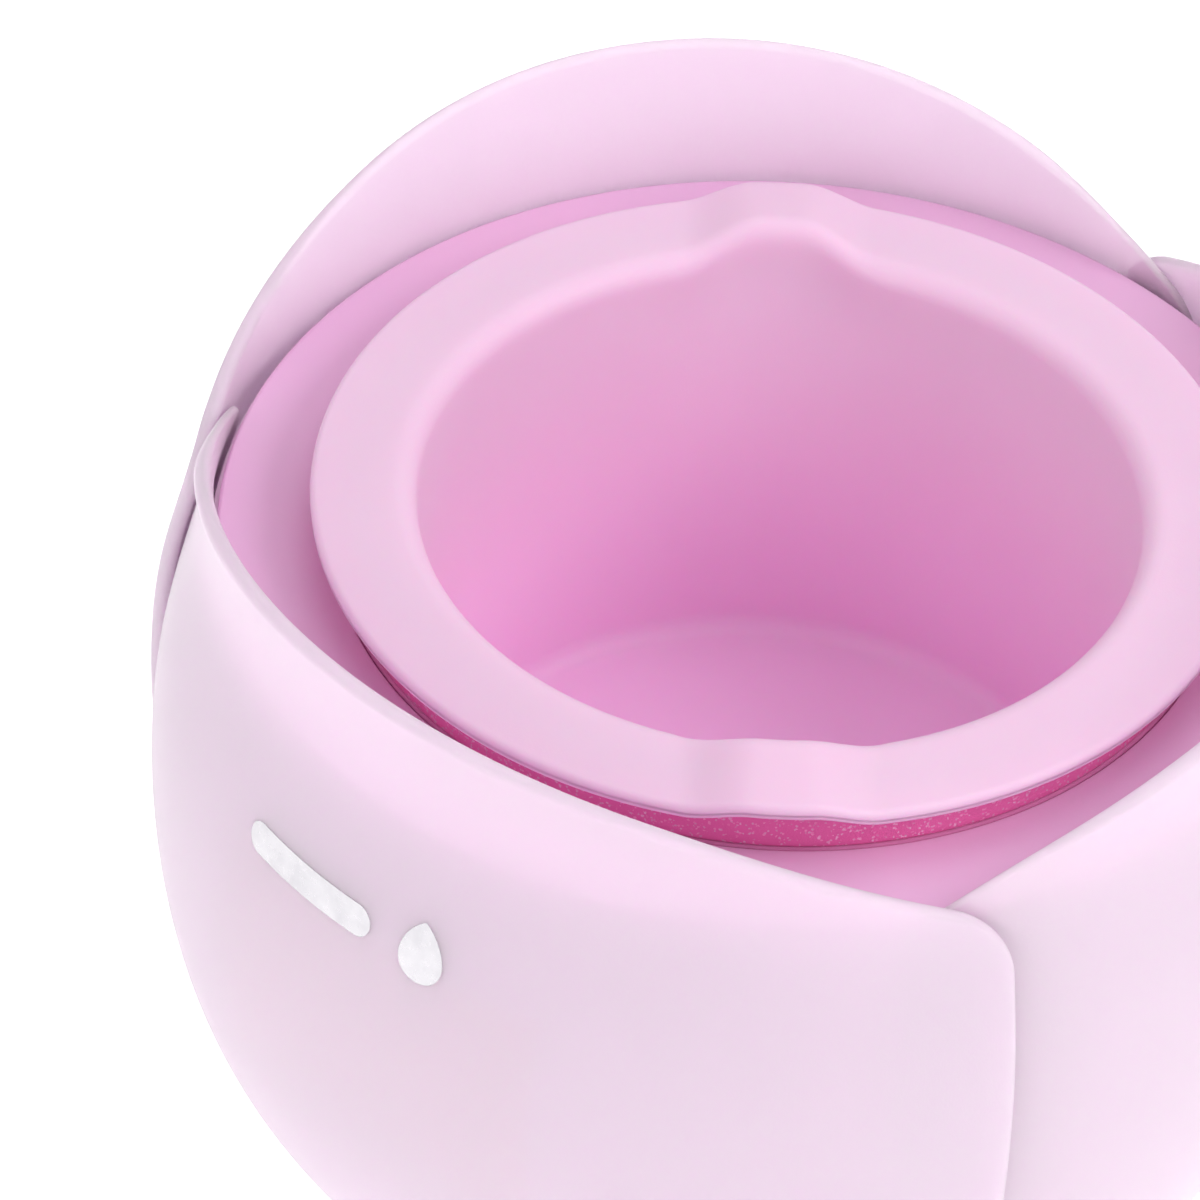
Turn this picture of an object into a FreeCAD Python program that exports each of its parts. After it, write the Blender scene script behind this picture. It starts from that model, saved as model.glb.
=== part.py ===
"""Wax warmer pot: a heated aluminium pot with a lift-out silicone liner, inside a three-petal casing.

Millimetres, +Z up. The origin is on the vertical axis, at the level of the feet's soles. The display
looks along -Y and the power inlet along +Y. Angles round the axis are counted from -Y towards +X.
"""
import FreeCAD, Part
import math
import os
import re
import Sketcher

Vector = FreeCAD.Vector
Rotation = FreeCAD.Rotation
UP = Vector(0, 0, 1)

# ---------------------------------------------------------------------------------------------------
# Driving dimensions
# ---------------------------------------------------------------------------------------------------
SIZES = {
    # cutting tools: how far they run past the face they open, and how far the long ones reach
    "tool_past": 2.0,
    "tool_reach": 20.0,
    # silicone liner
    "flange_height": 126.0,
    "flange_radius": 66.0,
    "flange_thick": 2.4,
    "flange_rise": 0.8,
    "bowl_radius": 51.0,
    "bowl_floor_radius": 49.0,
    "bowl_depth": 68.0,
    "liner_floor": 2.2,
    "liner_top_wall": 5.1,
    "liner_foot_wall": 2.5,
    "liner_clearance": 0.4,
    "lip_round": 1.0,
    "bowl_floor_round": 3.0,
    "liner_foot_round": 2.0,
    # pour lips of the liner
    "spout_angle": 42.8,
    "spout_rise": 4.5,
    "spout_fall": 11.0,
    "spout_reach": 66.9,
    "spout_start": 1.5,
    "spout_root": 0.4,
    "hump_radius": 22.0,
    "hump_inset": 6.0,
    "hump_length": 40.0,
    "scoop_radius": 14.0,
    "scoop_depth": 2.5,
    "scoop_length": 42.0,
    "scoop_tilt": 6.0,
    "scoop_lift": 3.0,
    # aluminium heating pot
    "pot_rim_radius": 62.0,
    "pot_rim_depth": 6.9,
    "pot_wall": 2.5,
    "pot_rim_round": 1.2,
    "pot_bore_round": 1.0,
    "pot_foot_round": 3.0,
    # heater under the pot
    "heater_radius": 44.0,
    "heater_thick": 5.0,
    "element_inner": 28.0,
    "element_outer": 35.0,
    "element_thick": 3.2,
    "element_tab_x": 3.2,
    "element_tab_y": 0.8,
    "element_tab_spacing": 10.0,
    "element_tab_radius": 30.0,
    "element_tab_drop": 6.0,
    "element_tab_root": 1.0,
    "thermistor_x": 16.0,
    "thermistor_radius": 3.0,
    "thermistor_height": 5.0,
    "thermistor_tab_reach": 26.0,
    "thermistor_tab_thick": 0.8,
    "thermistor_tab_root": 2.0,
    "barrel_start": 6.0,
    "barrel_y": 6.0,
    "barrel_radius": 2.0,
    "barrel_length": 12.0,
    "barrel_drop": 2.8,
    "saddle_start": 8.0,
    "saddle_length": 8.0,
    "saddle_width": 6.0,
    "saddle_thick": 1.8,
    # insulation round the pot
    "wrap_inner": 59.6,
    "wrap_thick": 4.0,
    "wrap_foot": 66.0,
    "wrap_height": 44.0,
    # deck
    "deck_radius": 78.9,
    "deck_edge_rise": 1.8,
    "deck_thick": 2.2,
    "deck_edge_round": 0.6,
    "deck_skirt": 7.0,
    "skirt_wall": 2.0,
    "skirt_play": 0.3,
    "pot_seat_play": 0.5,
    "seal_width": 2.4,
    "seal_thick": 1.5,
    "seal_inner_play": 0.2,
    "seal_outer_play": 0.3,
    # petals
    "petal_wall": 2.4,
    "petal_thin_wall": 1.3,
    "petal_foot": 15.5,
    "petal_top_rise": 15.8,
    "petal_dip": 19.8,
    "petal_dip_power": 2.1,
    "petal_seam": 60.0,
    "petal_lean": 3.0,
    "petal_left_reach": 65.5,
    "petal_right_reach": 65.2,
    "petal_crown": 0.45,
    "petal_joggle": 1.7,
    "joggle_start": 30.0,
    "joggle_end": 56.0,
    "thin_edge": -56.0,
    "thin_start": -42.0,
    "petal_lip_thick": 2.0,
    "petal_lip_half_angle": 57.0,
    "petal_gap": 1.0,
    "right_corner": 8.0,
    "left_corner": 4.0,
    # base
    "foot_height": 3.0,
    "foot_radius": 7.5,
    "foot_recess": 1.2,
    "foot_chamfer": 1.0,
    "foot_circle": 45.0,
    "foot_play": 0.2,
    "base_radius": 60.0,
    "base_wall": 2.4,
    "base_floor": 2.5,
    "base_chamfer": 2.0,
    "boss_radius": 4.0,
    "boss_root": 0.5,
    "screw_circle": 53.0,
    "lip_inner": 47.5,
    "housing_wall": 2.2,
    "housing_flange": 2.2,
    "housing_boss_height": 10.0,
    "housing_hole_cap": 1.0,
    "vent_length": 18.0,
    "vent_width": 2.5,
    "vent_radius": 22.0,
    # bracket that carries the pot
    "bracket_circle": 42.0,
    "bracket_thick": 1.5,
    "bracket_inner": 37.5,
    "bracket_boss_height": 8.0,
    "bracket_rim": 3.0,
    "leg_width": 10.0,
    "leg_toe": 9.0,
    # screws
    "screw_radius": 1.5,
    "screw_head_radius": 2.9,
    "screw_head_height": 2.2,
    "screw_hole": 1.7,
    "screw_head_play": 0.3,
    "cross_length": 3.2,
    "cross_width": 0.8,
    "cross_depth": 1.2,
    "base_screw_sink": 0.3,
    "base_screw_shank": 22.5,
    "bracket_screw_shank": 10.0,
    "display_screw_shank": 9.0,
    # power board
    "board_x": 60.0,
    "board_y": 40.0,
    "board_thick": 1.6,
    "board_height": 13.0,
    "board_hole_x": 26.0,
    "board_hole_y": 16.0,
    "board_post_radius": 2.6,
    "board_hole_radius": 1.3,
    "board_screw_radius": 1.0,
    "board_screw_head_radius": 2.1,
    "board_screw_head": 1.6,
    "board_screw_shank": 6.0,
    # parts on the power board, each with its middle and its size
    "core_middle_x": -13.0,
    "core_x": 18.0,
    "core_y": 16.0,
    "core_z": 15.0,
    "winding_radius": 6.0,
    "winding_length": 20.0,
    "relay_middle_x": 12.0,
    "relay_middle_y": -5.0,
    "relay_x": 16.0,
    "relay_y": 12.0,
    "relay_z": 15.5,
    "capacitor_x": 13.0,
    "capacitor_y": 6.6,
    "capacitor_radius": 5.0,
    "capacitor_height": 14.0,
    "terminal_x": 16.0,
    "terminal_front": 12.5,
    "terminal_back": 19.0,
    "terminal_z": 9.0,
    "terminal_spacing": 8.0,
    "terminal_mouth": 3.2,
    "terminal_mouth_depth": 3.0,
    "terminal_mouth_height": 4.0,
    # power inlet
    "inlet_x": 18.0,
    "inlet_z": 8.6,
    "inlet_depth": 14.0,
    "inlet_centre": 10.0,
    "inlet_flange": 1.4,
    "inlet_flange_side": 2.0,
    "inlet_flange_margin": 0.7,
    "inlet_play": 0.15,
    "inlet_land_side": 3.5,
    "inlet_land_rise": 0.4,
    "inlet_land_root": 1.0,
    "inlet_land_lift": 0.6,
    "socket_radius": 3.6,
    "pin_spacing": 8.6,
    "pin_radius": 1.2,
    "socket_depth": 10.0,
    "pin_tail": 8.0,
    "pin_tip_inset": 2.0,
    # leads
    "wire_radius": 0.9,
    "wire_bend": 4.0,
    "lead_end_play": 0.2,
    "mains_lead_straight": 8.0,
    "mains_lead_turn": 30.0,
    "heater_lead_x": 24.0,
    "heater_lead_y": 10.0,
    "heater_lead_spacing": 6.0,
    "heater_lead_rise": 12.0,
    "heater_lead_climb": 18.0,
    "ribbon_x": 10.0,
    "ribbon_thick": 1.0,
    "ribbon_bend": 2.0,
    "ribbon_start": 17.0,
    "ribbon_gap": 5.0,
    "ribbon_rise": 8.0,
    "ribbon_climb": 24.0,
    "ribbon_end_drop": 16.0,
    # display
    "window_x": 58.0,
    "window_z": 44.0,
    "window_thick": 2.0,
    "window_front": 76.5,
    "window_height": 76.0,
    "frame_depth": 10.5,
    "frame_wall": 2.0,
    "frame_trim": 0.5,
    "frame_ledge": 1.2,
    "opening_depth": 9.5,
    "display_board_back": 65.4,
    "display_board_play": 0.2,
    "digit_x": 32.0,
    "digit_z": 14.0,
    "digit_lift": 8.0,
    "pad_radius": 4.0,
    "pad_spacing": 16.0,
    "pad_drop": 12.0,
    "ear_reach": 33.5,
    "ear_middle": 32.5,
    "ear_x": 10.0,
    "ear_z": 8.0,
    "ear_thick": 1.5,
    "ear_boss_radius": 3.4,
    "ear_boss_length": 9.0,
    "ear_hole_cap": 2.0,
    "display_play": 0.4,
}

# Outer face of a petal in its middle: (height, radius), from the foot to the tip.
BULB = [(15.5, 65.0), (36.0, 78.3), (58.0, 85.7), (81.0, 87.7), (103.0, 85.9), (126.0, 81.9), (143.0, 84.6)]

PETAL_ANGLES = {"petal_front": 0.0, "petal_right": 120.0, "petal_left": 240.0}
PETAL_SCREWS = (-30, 30)
SCREW_ANGLES = [petal + offset for petal in PETAL_ANGLES.values() for offset in PETAL_SCREWS]
BRACKET_ANGLES = (30, 150, 270)
FOOT_ANGLES = (60, 120, 240, 300)
BOARD_HOLES = [(f"{x} * board_hole_x", f"{y} * board_hole_y") for x in (-1, 1) for y in (-1, 1)]
SIDES = ("-1", "1")
VENT_COUNT = 6
KEY_PLACES = (-1, 0, 1)

# Where a petal's sections stand: between its corners, and in shares of a corner's width.
SECTION_ANGLES = [*range(-60, 56, 6), 56.5]
CORNER_SHARES = (0.02, 0.10, 0.24, 0.45, 0.72)
SECTION_STEPS = 8
SHELL_STEPS = 10

# How close an edge has to be to count as the one named, and how finely a height is looked up.
SAME_PLACE = 0.01
HALVINGS = 50

# Directions of round parts: a cylinder turned by 90 degrees about X points towards -Y.
ALONG_X = Vector(1, 0, 0)
ALONG_Y = Vector(0, 1, 0)

# Heights that several sub-parts share, as expressions.
FLANGE_UNDER = "flange_height - flange_thick / 2"
FLANGE_TOP = "flange_height + flange_thick / 2"
MOUTH_TOP = f"{FLANGE_TOP} + flange_rise"
BOWL_FLOOR = "flange_height - bowl_depth"
POT_TOP = FLANGE_UNDER
POT_BORE_TOP = "bowl_radius + liner_top_wall + liner_clearance"
POT_BORE_FOOT = "bowl_floor_radius + liner_foot_wall + liner_clearance"
POT_FLOOR = f"{BOWL_FLOOR} - liner_floor - liner_clearance"
POT_FOOT = f"{POT_FLOOR} - pot_wall"
RIM_FOOT = f"{POT_TOP} - pot_rim_depth"
PLATE_FOOT = f"{POT_FOOT} - heater_thick"
DECK_EDGE = f"{RIM_FOOT} + deck_edge_rise"
BASE_FLOOR_TOP = "foot_height + base_floor"
BOARD_TOP = "board_height + board_thick"
INLET_FACE = "base_radius + inlet_land_rise"
WINDOW_BACK = "-window_front + window_thick"

doc = FreeCAD.newDocument("wax_warmer_pot")
sheet = doc.addObject("Spreadsheet::Sheet", "Sizes")
for row, (alias, number) in enumerate(SIZES.items(), start=1):
    sheet.set(f"A{row}", alias)
    sheet.set(f"B{row}", str(number))
    sheet.setAlias(f"B{row}", alias)
doc.recompute()

SIZE_WORD = re.compile(r"\b(" + "|".join(SIZES) + r")\b")
sub_parts = []


# ---------------------------------------------------------------------------------------------------
# Helpers
# ---------------------------------------------------------------------------------------------------
def expression(text):
    """The expression with each driving dimension looked up in the sheet."""
    return SIZE_WORD.sub(r"Sizes.\1", str(text))


def size(text):
    """The value of an expression, in millimetres or degrees."""
    return float(sheet.evalExpression(expression(text)))


def bind(item, name, text):
    """Ties a property to an expression of the driving dimensions."""
    item.setExpression(name, expression(text))


def place(item, at, turn):
    """Turns an object, then ties its position to three expressions."""
    item.Placement = FreeCAD.Placement(Vector(0, 0, 0), turn)
    for letter, text in zip("xyz", at):
        bind(item, f"Placement.Base.{letter}", text)


def primitive(kind, name, at=(0, 0, 0), axis=UP, angle=0.0, **dimensions):
    """A Part primitive whose dimensions and position follow the sheet."""
    item = doc.addObject("Part::" + kind, name)
    for prop, text in dimensions.items():
        bind(item, prop, text)
    place(item, at, Rotation(axis, angle))
    return item


def block(name, x, y, z):
    """A box between pairs of expressions along each axis."""
    return primitive("Box", name, at=(x[0], y[0], z[0]), Length=f"({x[1]}) - ({x[0]})",
                     Width=f"({y[1]}) - ({y[0]})", Height=f"({z[1]}) - ({z[0]})")


def fuse(name, items):
    """One solid of several overlapping objects."""
    union = doc.addObject("Part::MultiFuse", name)
    union.Shapes = items
    return union


def cut(name, base, tools):
    """The base with the tools taken away."""
    result = doc.addObject("Part::Cut", name)
    result.Base = base
    result.Tool = tools[0] if len(tools) == 1 else fuse(name + "_tools", tools)
    return result


def group(name, items):
    """Separate solids that share one node."""
    compound = doc.addObject("Part::Compound", name)
    compound.Links = items
    return compound


def keep(item, label):
    """Marks an object as a sub-part and gives it its file's name."""
    item.Label = label
    sub_parts.append(item)
    return item


def on_circle(radius, angle):
    """Expressions for a point on a circle round the axis, at an angle from -Y towards +X."""
    return f"({radius}) * sin(({angle}) * 1 deg)", f"-({radius}) * cos(({angle}) * 1 deg)"


def new_sketch(body, role, name, lift=None):
    """A sketch on one of a body's own origin planes, lifted along its normal."""
    sketch = body.newObject("Sketcher::SketchObject", name)
    origin_plane = next(item for item in body.Origin.OriginFeatures if item.Role == role)
    sketch.AttachmentSupport = [(origin_plane, "")]
    sketch.MapMode = "FlatFace"
    if lift is not None:
        bind(sketch, "AttachmentOffset.Base.z", lift)
    return sketch


def tie_point(sketch, geometry, vertex, x, y):
    """Constrains a sketch point to two expressions."""
    for kind, text in (("DistanceX", x), ("DistanceY", y)):
        index = sketch.addConstraint(Sketcher.Constraint(kind, -1, 1, geometry, vertex, size(text)))
        bind(sketch, f"Constraints[{index}]", text)


def outline(sketch, corners):
    """A closed outline of straight lines through corners given as pairs of expressions."""
    points = [Vector(size(x), size(y), 0) for x, y in corners]
    count = len(points)
    first = sketch.GeometryCount
    for index in range(count):
        sketch.addGeometry(Part.LineSegment(points[index], points[(index + 1) % count]), False)
    for index in range(count):
        following = first + (index + 1) % count
        sketch.addConstraint(Sketcher.Constraint("Coincident", first + index, 2, following, 1))
    for index, (x, y) in enumerate(corners):
        tie_point(sketch, first + index, 1, x, y)


def circle(sketch, x, y, radius):
    """A circle whose centre and radius are expressions."""
    centre = Vector(size(x), size(y), 0)
    index = sketch.addGeometry(Part.Circle(centre, UP, size(radius)), False)
    tie_point(sketch, index, 3, x, y)
    rule = sketch.addConstraint(Sketcher.Constraint("Radius", index, size(radius)))
    bind(sketch, f"Constraints[{rule}]", radius)


def turned_body(name, corners):
    """A body of revolution round the vertical axis, from a section of (radius, height) corners."""
    body = doc.addObject("PartDesign::Body", name)
    sketch = new_sketch(body, "XZ_Plane", name + "_section")
    outline(sketch, corners)
    turn = body.newObject("PartDesign::Revolution", name + "_turned")
    turn.Profile = sketch
    turn.ReferenceAxis = (sketch, ["V_Axis"])
    turn.Angle = 360
    sketch.Visibility = False
    doc.recompute()
    return body


def pad(body, name, height, draw, length):
    """Adds material upwards from a horizontal sketch."""
    sketch = new_sketch(body, "XY_Plane", name + "_sketch", height)
    draw(sketch)
    feature = body.newObject("PartDesign::Pad", name)
    feature.Profile = sketch
    bind(feature, "Length", length)
    doc.recompute()
    return feature


def pocket(body, name, height, draw, depth):
    """Takes material away upwards from a horizontal sketch, and checks that some went."""
    before = body.Shape.Volume
    sketch = new_sketch(body, "XY_Plane", name + "_sketch", height)
    draw(sketch)
    feature = body.newObject("PartDesign::Pocket", name)
    feature.Profile = sketch
    feature.Reversed = True
    bind(feature, "Length", depth)
    doc.recompute()
    if body.Shape.Volume >= before:
        raise RuntimeError(f"{name} cuts nothing")
    return feature


def pattern(body, name, features, count):
    """Repeats features round the vertical axis of a body."""
    polar = body.newObject("PartDesign::PolarPattern", name)
    polar.Originals = features
    polar.Axis = (features[0].Profile[0], ["N_Axis"])
    polar.Angle = 360
    polar.Occurrences = count
    body.Tip = polar
    doc.recompute()
    return polar


def round_rings(body, name, rings, radius):
    """Rounds circular edges, each named by its (radius, height)."""
    places = [(size(ring_radius), size(height)) for ring_radius, height in rings]
    names = []
    for number, edge in enumerate(body.Shape.Edges, start=1):
        curve = edge.Curve
        if not isinstance(curve, Part.Circle):
            continue
        for ring_radius, height in places:
            same_radius = abs(curve.Radius - ring_radius) < SAME_PLACE
            if same_radius and abs(curve.Center.z - height) < SAME_PLACE:
                names.append(f"Edge{number}")
    rounded = body.Tip
    fillet = body.newObject("PartDesign::Fillet", name)
    fillet.Base = (rounded, names)
    bind(fillet, "Radius", radius)
    doc.recompute()
    return fillet


def screw(name, at, length, axis=UP, angle=0.0):
    """A pan-head screw with a cross recess. Its head's outer face is at the given point, its shank above."""
    head = primitive("Cylinder", name + "_head", Radius="screw_head_radius", Height="screw_head_height")
    shank = primitive("Cylinder", name + "_shank", Radius="screw_radius", Height=length)
    long_side = ("-cross_length / 2", "cross_length / 2")
    short_side = ("-cross_width / 2", "cross_width / 2")
    recess_x = block(name + "_recess_x", long_side, short_side, ("0", "cross_depth"))
    recess_y = block(name + "_recess_y", short_side, long_side, ("0", "cross_depth"))
    item = cut(name, fuse(name + "_blank", [head, shank]), [recess_x, recess_y])
    place(item, at, Rotation(axis, angle))
    return item


def rounded_path(points, radius):
    """Straight runs through the points, joined by tangent arcs."""
    edges = []
    start = points[0]
    for before, corner, after in zip(points, points[1:], points[2:]):
        back = (before - corner).normalize()
        ahead = (after - corner).normalize()
        half = back.getAngle(ahead) / 2
        setback = radius / math.tan(half)
        middle_way = (back + ahead).normalize()
        middle = corner + middle_way * (radius / math.sin(half) - radius)
        enter = corner + back * setback
        leave = corner + ahead * setback
        edges.append(Part.LineSegment(start, enter).toShape())
        edges.append(Part.Arc(enter, middle, leave).toShape())
        start = leave
    edges.append(Part.LineSegment(start, points[-1]).toShape())
    return Part.Wire(edges)


def swept(path, section):
    """A solid with the given section wire along a path."""
    return path.makePipeShell([section], True, False)


def wire_tube(points, wire_radius, bend):
    """A round insulated wire through the points."""
    path = rounded_path(points, bend)
    direction = points[1] - points[0]
    ring = Part.Circle(points[0], direction, wire_radius)
    return swept(path, Part.Wire(ring.toShape()))


def shaped(name, shape):
    """A sub-part whose form is worked out directly."""
    item = doc.addObject("Part::Feature", name)
    item.Shape = shape
    item.Placement = FreeCAD.Placement()
    return item


# ---------------------------------------------------------------------------------------------------
# The bulb's outline, shared by the petals and the housing inside them
# ---------------------------------------------------------------------------------------------------
def bulb_curve(inset):
    """The petals' outer outline in the XZ plane, moved inwards."""
    curve = Part.BSplineCurve()
    curve.interpolate([Vector(radius - inset, 0, height) for height, radius in BULB])
    return curve


OUTER_CURVE = bulb_curve(0)


def bulb_radius(height):
    """The petals' outer radius at a height."""
    low, high = OUTER_CURVE.FirstParameter, OUTER_CURVE.LastParameter
    for _ in range(HALVINGS):
        middle = (low + high) / 2
        if OUTER_CURVE.value(middle).z < height:
            low = middle
        else:
            high = middle
    return OUTER_CURVE.value(low).x


def smooth_step(value, start, end):
    """Rises smoothly from 0 at start to 1 at end."""
    fraction = min(max((value - start) / (end - start), 0.0), 1.0)
    return fraction * fraction * (3 - 2 * fraction)


# ---------------------------------------------------------------------------------------------------
# Petals
# ---------------------------------------------------------------------------------------------------
def corner_drop(distance, radius):
    """How far a rounded corner falls below its sides, at a distance in from where it starts."""
    inside = min(max(distance, 0.0), radius)
    return radius - math.sqrt(radius * radius - inside * inside)


def petal_rim_height(angle):
    """The rim's height, high in the middle and dipping to the seams."""
    seam = size("petal_seam")
    leaning = angle + size("petal_lean") * (1 - (angle / seam) ** 2)
    dip = size("petal_dip") * (abs(leaning) / seam) ** size("petal_dip_power")
    height = size("flange_height + petal_top_rise") - dip
    arc_per_degree = math.radians(1) * bulb_radius(size("flange_height"))
    from_right = (size("petal_right_reach") - angle) * arc_per_degree
    from_left = (size("petal_left_reach") + angle) * arc_per_degree
    right_radius = size("right_corner")
    left_radius = size("left_corner")
    height -= corner_drop(right_radius - from_right, right_radius)
    height -= corner_drop(left_radius - from_left, left_radius)
    return height


def petal_section(angle):
    """The petal's closed section in the half plane at an angle: outer face, rim, inner face, foot."""
    foot = size("petal_foot")
    rim = petal_rim_height(angle)
    shift = size("petal_joggle") * smooth_step(angle, size("joggle_start"), size("joggle_end"))
    wall = size("petal_wall")
    thick_share = smooth_step(angle, size("thin_edge"), size("thin_start"))
    thinning = (wall - size("petal_thin_wall")) * (1 - thick_share)
    heights = [foot + (rim - foot) * step / SECTION_STEPS for step in range(SECTION_STEPS + 1)]

    def point(height, inset):
        return Vector(bulb_radius(height) + shift - inset, 0, height)

    outer = [point(height, thinning) for height in heights]
    inner = [point(height, wall) for height in reversed(heights)]
    outer_curve = Part.BSplineCurve()
    outer_curve.interpolate(outer)
    inner_curve = Part.BSplineCurve()
    inner_curve.interpolate(inner)
    crown = (outer[-1] + inner[0]) / 2 + UP * (wall - thinning) * size("petal_crown")
    section = Part.Wire([
        outer_curve.toShape(),
        Part.Arc(outer[-1], crown, inner[0]).toShape(),
        inner_curve.toShape(),
        Part.LineSegment(inner[-1], outer[0]).toShape(),
    ])
    section.rotate(Vector(0, 0, 0), UP, angle - 90)
    return section


def petal_angles():
    """Where the petal's sections stand: evenly, and closer together round its top corners."""
    left = -size("petal_left_reach")
    right = size("petal_right_reach")
    arc_per_degree = math.radians(1) * bulb_radius(size("flange_height"))
    left_corner = size("left_corner") / arc_per_degree
    right_corner = size("right_corner") / arc_per_degree
    left_angles = [left + left_corner * share for share in CORNER_SHARES]
    right_angles = [right - right_corner * share for share in reversed(CORNER_SHARES)]
    return left_angles + SECTION_ANGLES + right_angles


def petal_shape():
    """One petal, its middle towards -Y: a bulbous wall on an inward lip with two screw holes."""
    wall = Part.makeLoft([petal_section(angle) for angle in petal_angles()], True, False)
    foot = size("petal_foot")
    thick = size("petal_lip_thick")
    half = size("petal_lip_half_angle")
    lip_outer = bulb_radius(foot) - size("petal_wall") / 2
    lip_start = Vector(0, 0, foot)
    lip = Part.makeCylinder(lip_outer, thick, lip_start, UP, 2 * half)
    lip = lip.cut(Part.makeCylinder(size("lip_inner"), thick, lip_start))
    lip.rotate(Vector(0, 0, 0), UP, -90 - half)
    petal = wall.fuse(lip)
    for angle in PETAL_SCREWS:
        x = size("screw_circle") * math.sin(math.radians(angle))
        y = -size("screw_circle") * math.cos(math.radians(angle))
        petal = petal.cut(Part.makeCylinder(size("screw_hole"), thick, Vector(x, y, foot)))
    return petal.Solids[0]


def make_petals():
    """Three identical petals. The right end of each lies outside the left end of the next."""
    blank = petal_shape()
    for label, angle in PETAL_ANGLES.items():
        petal = shaped(label, blank)
        petal.Placement = FreeCAD.Placement(Vector(0, 0, 0), Rotation(UP, angle))
        keep(petal, label)


# ---------------------------------------------------------------------------------------------------
# Silicone liner
# ---------------------------------------------------------------------------------------------------
def make_liner():
    """The lift-out cup: drafted walls, a broad flange and two opposite pour lips."""
    liner_foot = f"{BOWL_FLOOR} - liner_floor"
    blank = turned_body("liner_blank", [
        ("0", liner_foot),
        ("bowl_floor_radius + liner_foot_wall", liner_foot),
        ("bowl_radius + liner_top_wall", FLANGE_UNDER),
        ("flange_radius", FLANGE_UNDER),
        ("flange_radius", FLANGE_TOP),
        ("bowl_radius", MOUTH_TOP),
        ("bowl_floor_radius", BOWL_FLOOR),
        ("0", BOWL_FLOOR),
    ])
    round_rings(blank, "flange_edges", [("flange_radius", FLANGE_UNDER), ("flange_radius", FLANGE_TOP),
                                        ("bowl_radius", MOUTH_TOP)], "lip_round")
    round_rings(blank, "bowl_floor_edge", [("bowl_floor_radius", BOWL_FLOOR)], "bowl_floor_round")
    round_rings(blank, "liner_foot_edge", [("bowl_floor_radius + liner_foot_wall", liner_foot)],
                "liner_foot_round")

    hump_height = (f"{MOUTH_TOP} + spout_rise + hump_inset * tan(spout_fall * 1 deg)"
                   " - hump_radius / cos(spout_fall * 1 deg)")
    scoop_foot_radius = "bowl_radius - scoop_radius + scoop_depth - scoop_length * tan(scoop_tilt * 1 deg)"
    humps = []
    scoops = []
    for number, angle in enumerate(("spout_angle", "spout_angle + 180")):
        outwards = Rotation(UP, size(angle) - 90)
        hump = primitive("Cylinder", f"hump_{number}", Radius="hump_radius", Height="hump_length")
        place(hump, (*on_circle("bowl_radius - hump_inset", angle), hump_height),
              outwards.multiply(Rotation(ALONG_Y, 90 + size("spout_fall"))))
        humps.append(hump)
        scoop = primitive("Cylinder", f"scoop_{number}", Radius="scoop_radius",
                          Height="scoop_length + tool_reach")
        place(scoop, (*on_circle(scoop_foot_radius, angle), f"{MOUTH_TOP} + scoop_lift - scoop_length"),
              outwards.multiply(Rotation(ALONG_Y, size("scoop_tilt"))))
        scoops.append(scoop)

    # The humps only stand on the flange: outside the mouth's rounding and inside the spouts' reach.
    limit_foot = ("0", "0", "flange_height - spout_root")
    limit = primitive("Cylinder", "spout_outer_limit", at=limit_foot, Radius="spout_reach",
                      Height="tool_reach")
    mouth = primitive("Cylinder", "spout_inner_limit", at=limit_foot,
                      Radius="bowl_radius + spout_start", Height="tool_reach")
    spouts = doc.addObject("Part::Common", "spouts")
    spouts.Base = cut("spout_limits", limit, [mouth])
    spouts.Tool = fuse("humps", humps)
    keep(cut("silicone_liner", fuse("liner_with_spouts", [blank, spouts]), scoops),
         "silicone_liner")


# ---------------------------------------------------------------------------------------------------
# Heating pot, its heater and its seal
# ---------------------------------------------------------------------------------------------------
def make_pot():
    """The cast aluminium pot: drafted walls, a thick rim that stands on the deck's seal."""
    slope = f"(({POT_BORE_TOP}) - ({POT_BORE_FOOT})) / (({POT_TOP}) - ({POT_FLOOR}))"
    pot = turned_body("heating_pot", [
        ("0", POT_FOOT),
        (f"{POT_BORE_FOOT} + pot_wall", POT_FOOT),
        (f"{POT_BORE_TOP} + pot_wall - ({slope}) * pot_rim_depth", RIM_FOOT),
        ("pot_rim_radius", RIM_FOOT),
        ("pot_rim_radius", POT_TOP),
        (POT_BORE_TOP, POT_TOP),
        (POT_BORE_FOOT, POT_FLOOR),
        ("0", POT_FLOOR),
    ])
    round_rings(pot, "pot_rim_edge", [("pot_rim_radius", POT_TOP)], "pot_rim_round")
    round_rings(pot, "pot_inner_edge", [(POT_BORE_FOOT, POT_FLOOR)], "pot_bore_round")
    round_rings(pot, "pot_foot_edge", [(f"{POT_BORE_FOOT} + pot_wall", POT_FOOT)], "pot_foot_round")
    keep(pot, "heating_pot")


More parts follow.
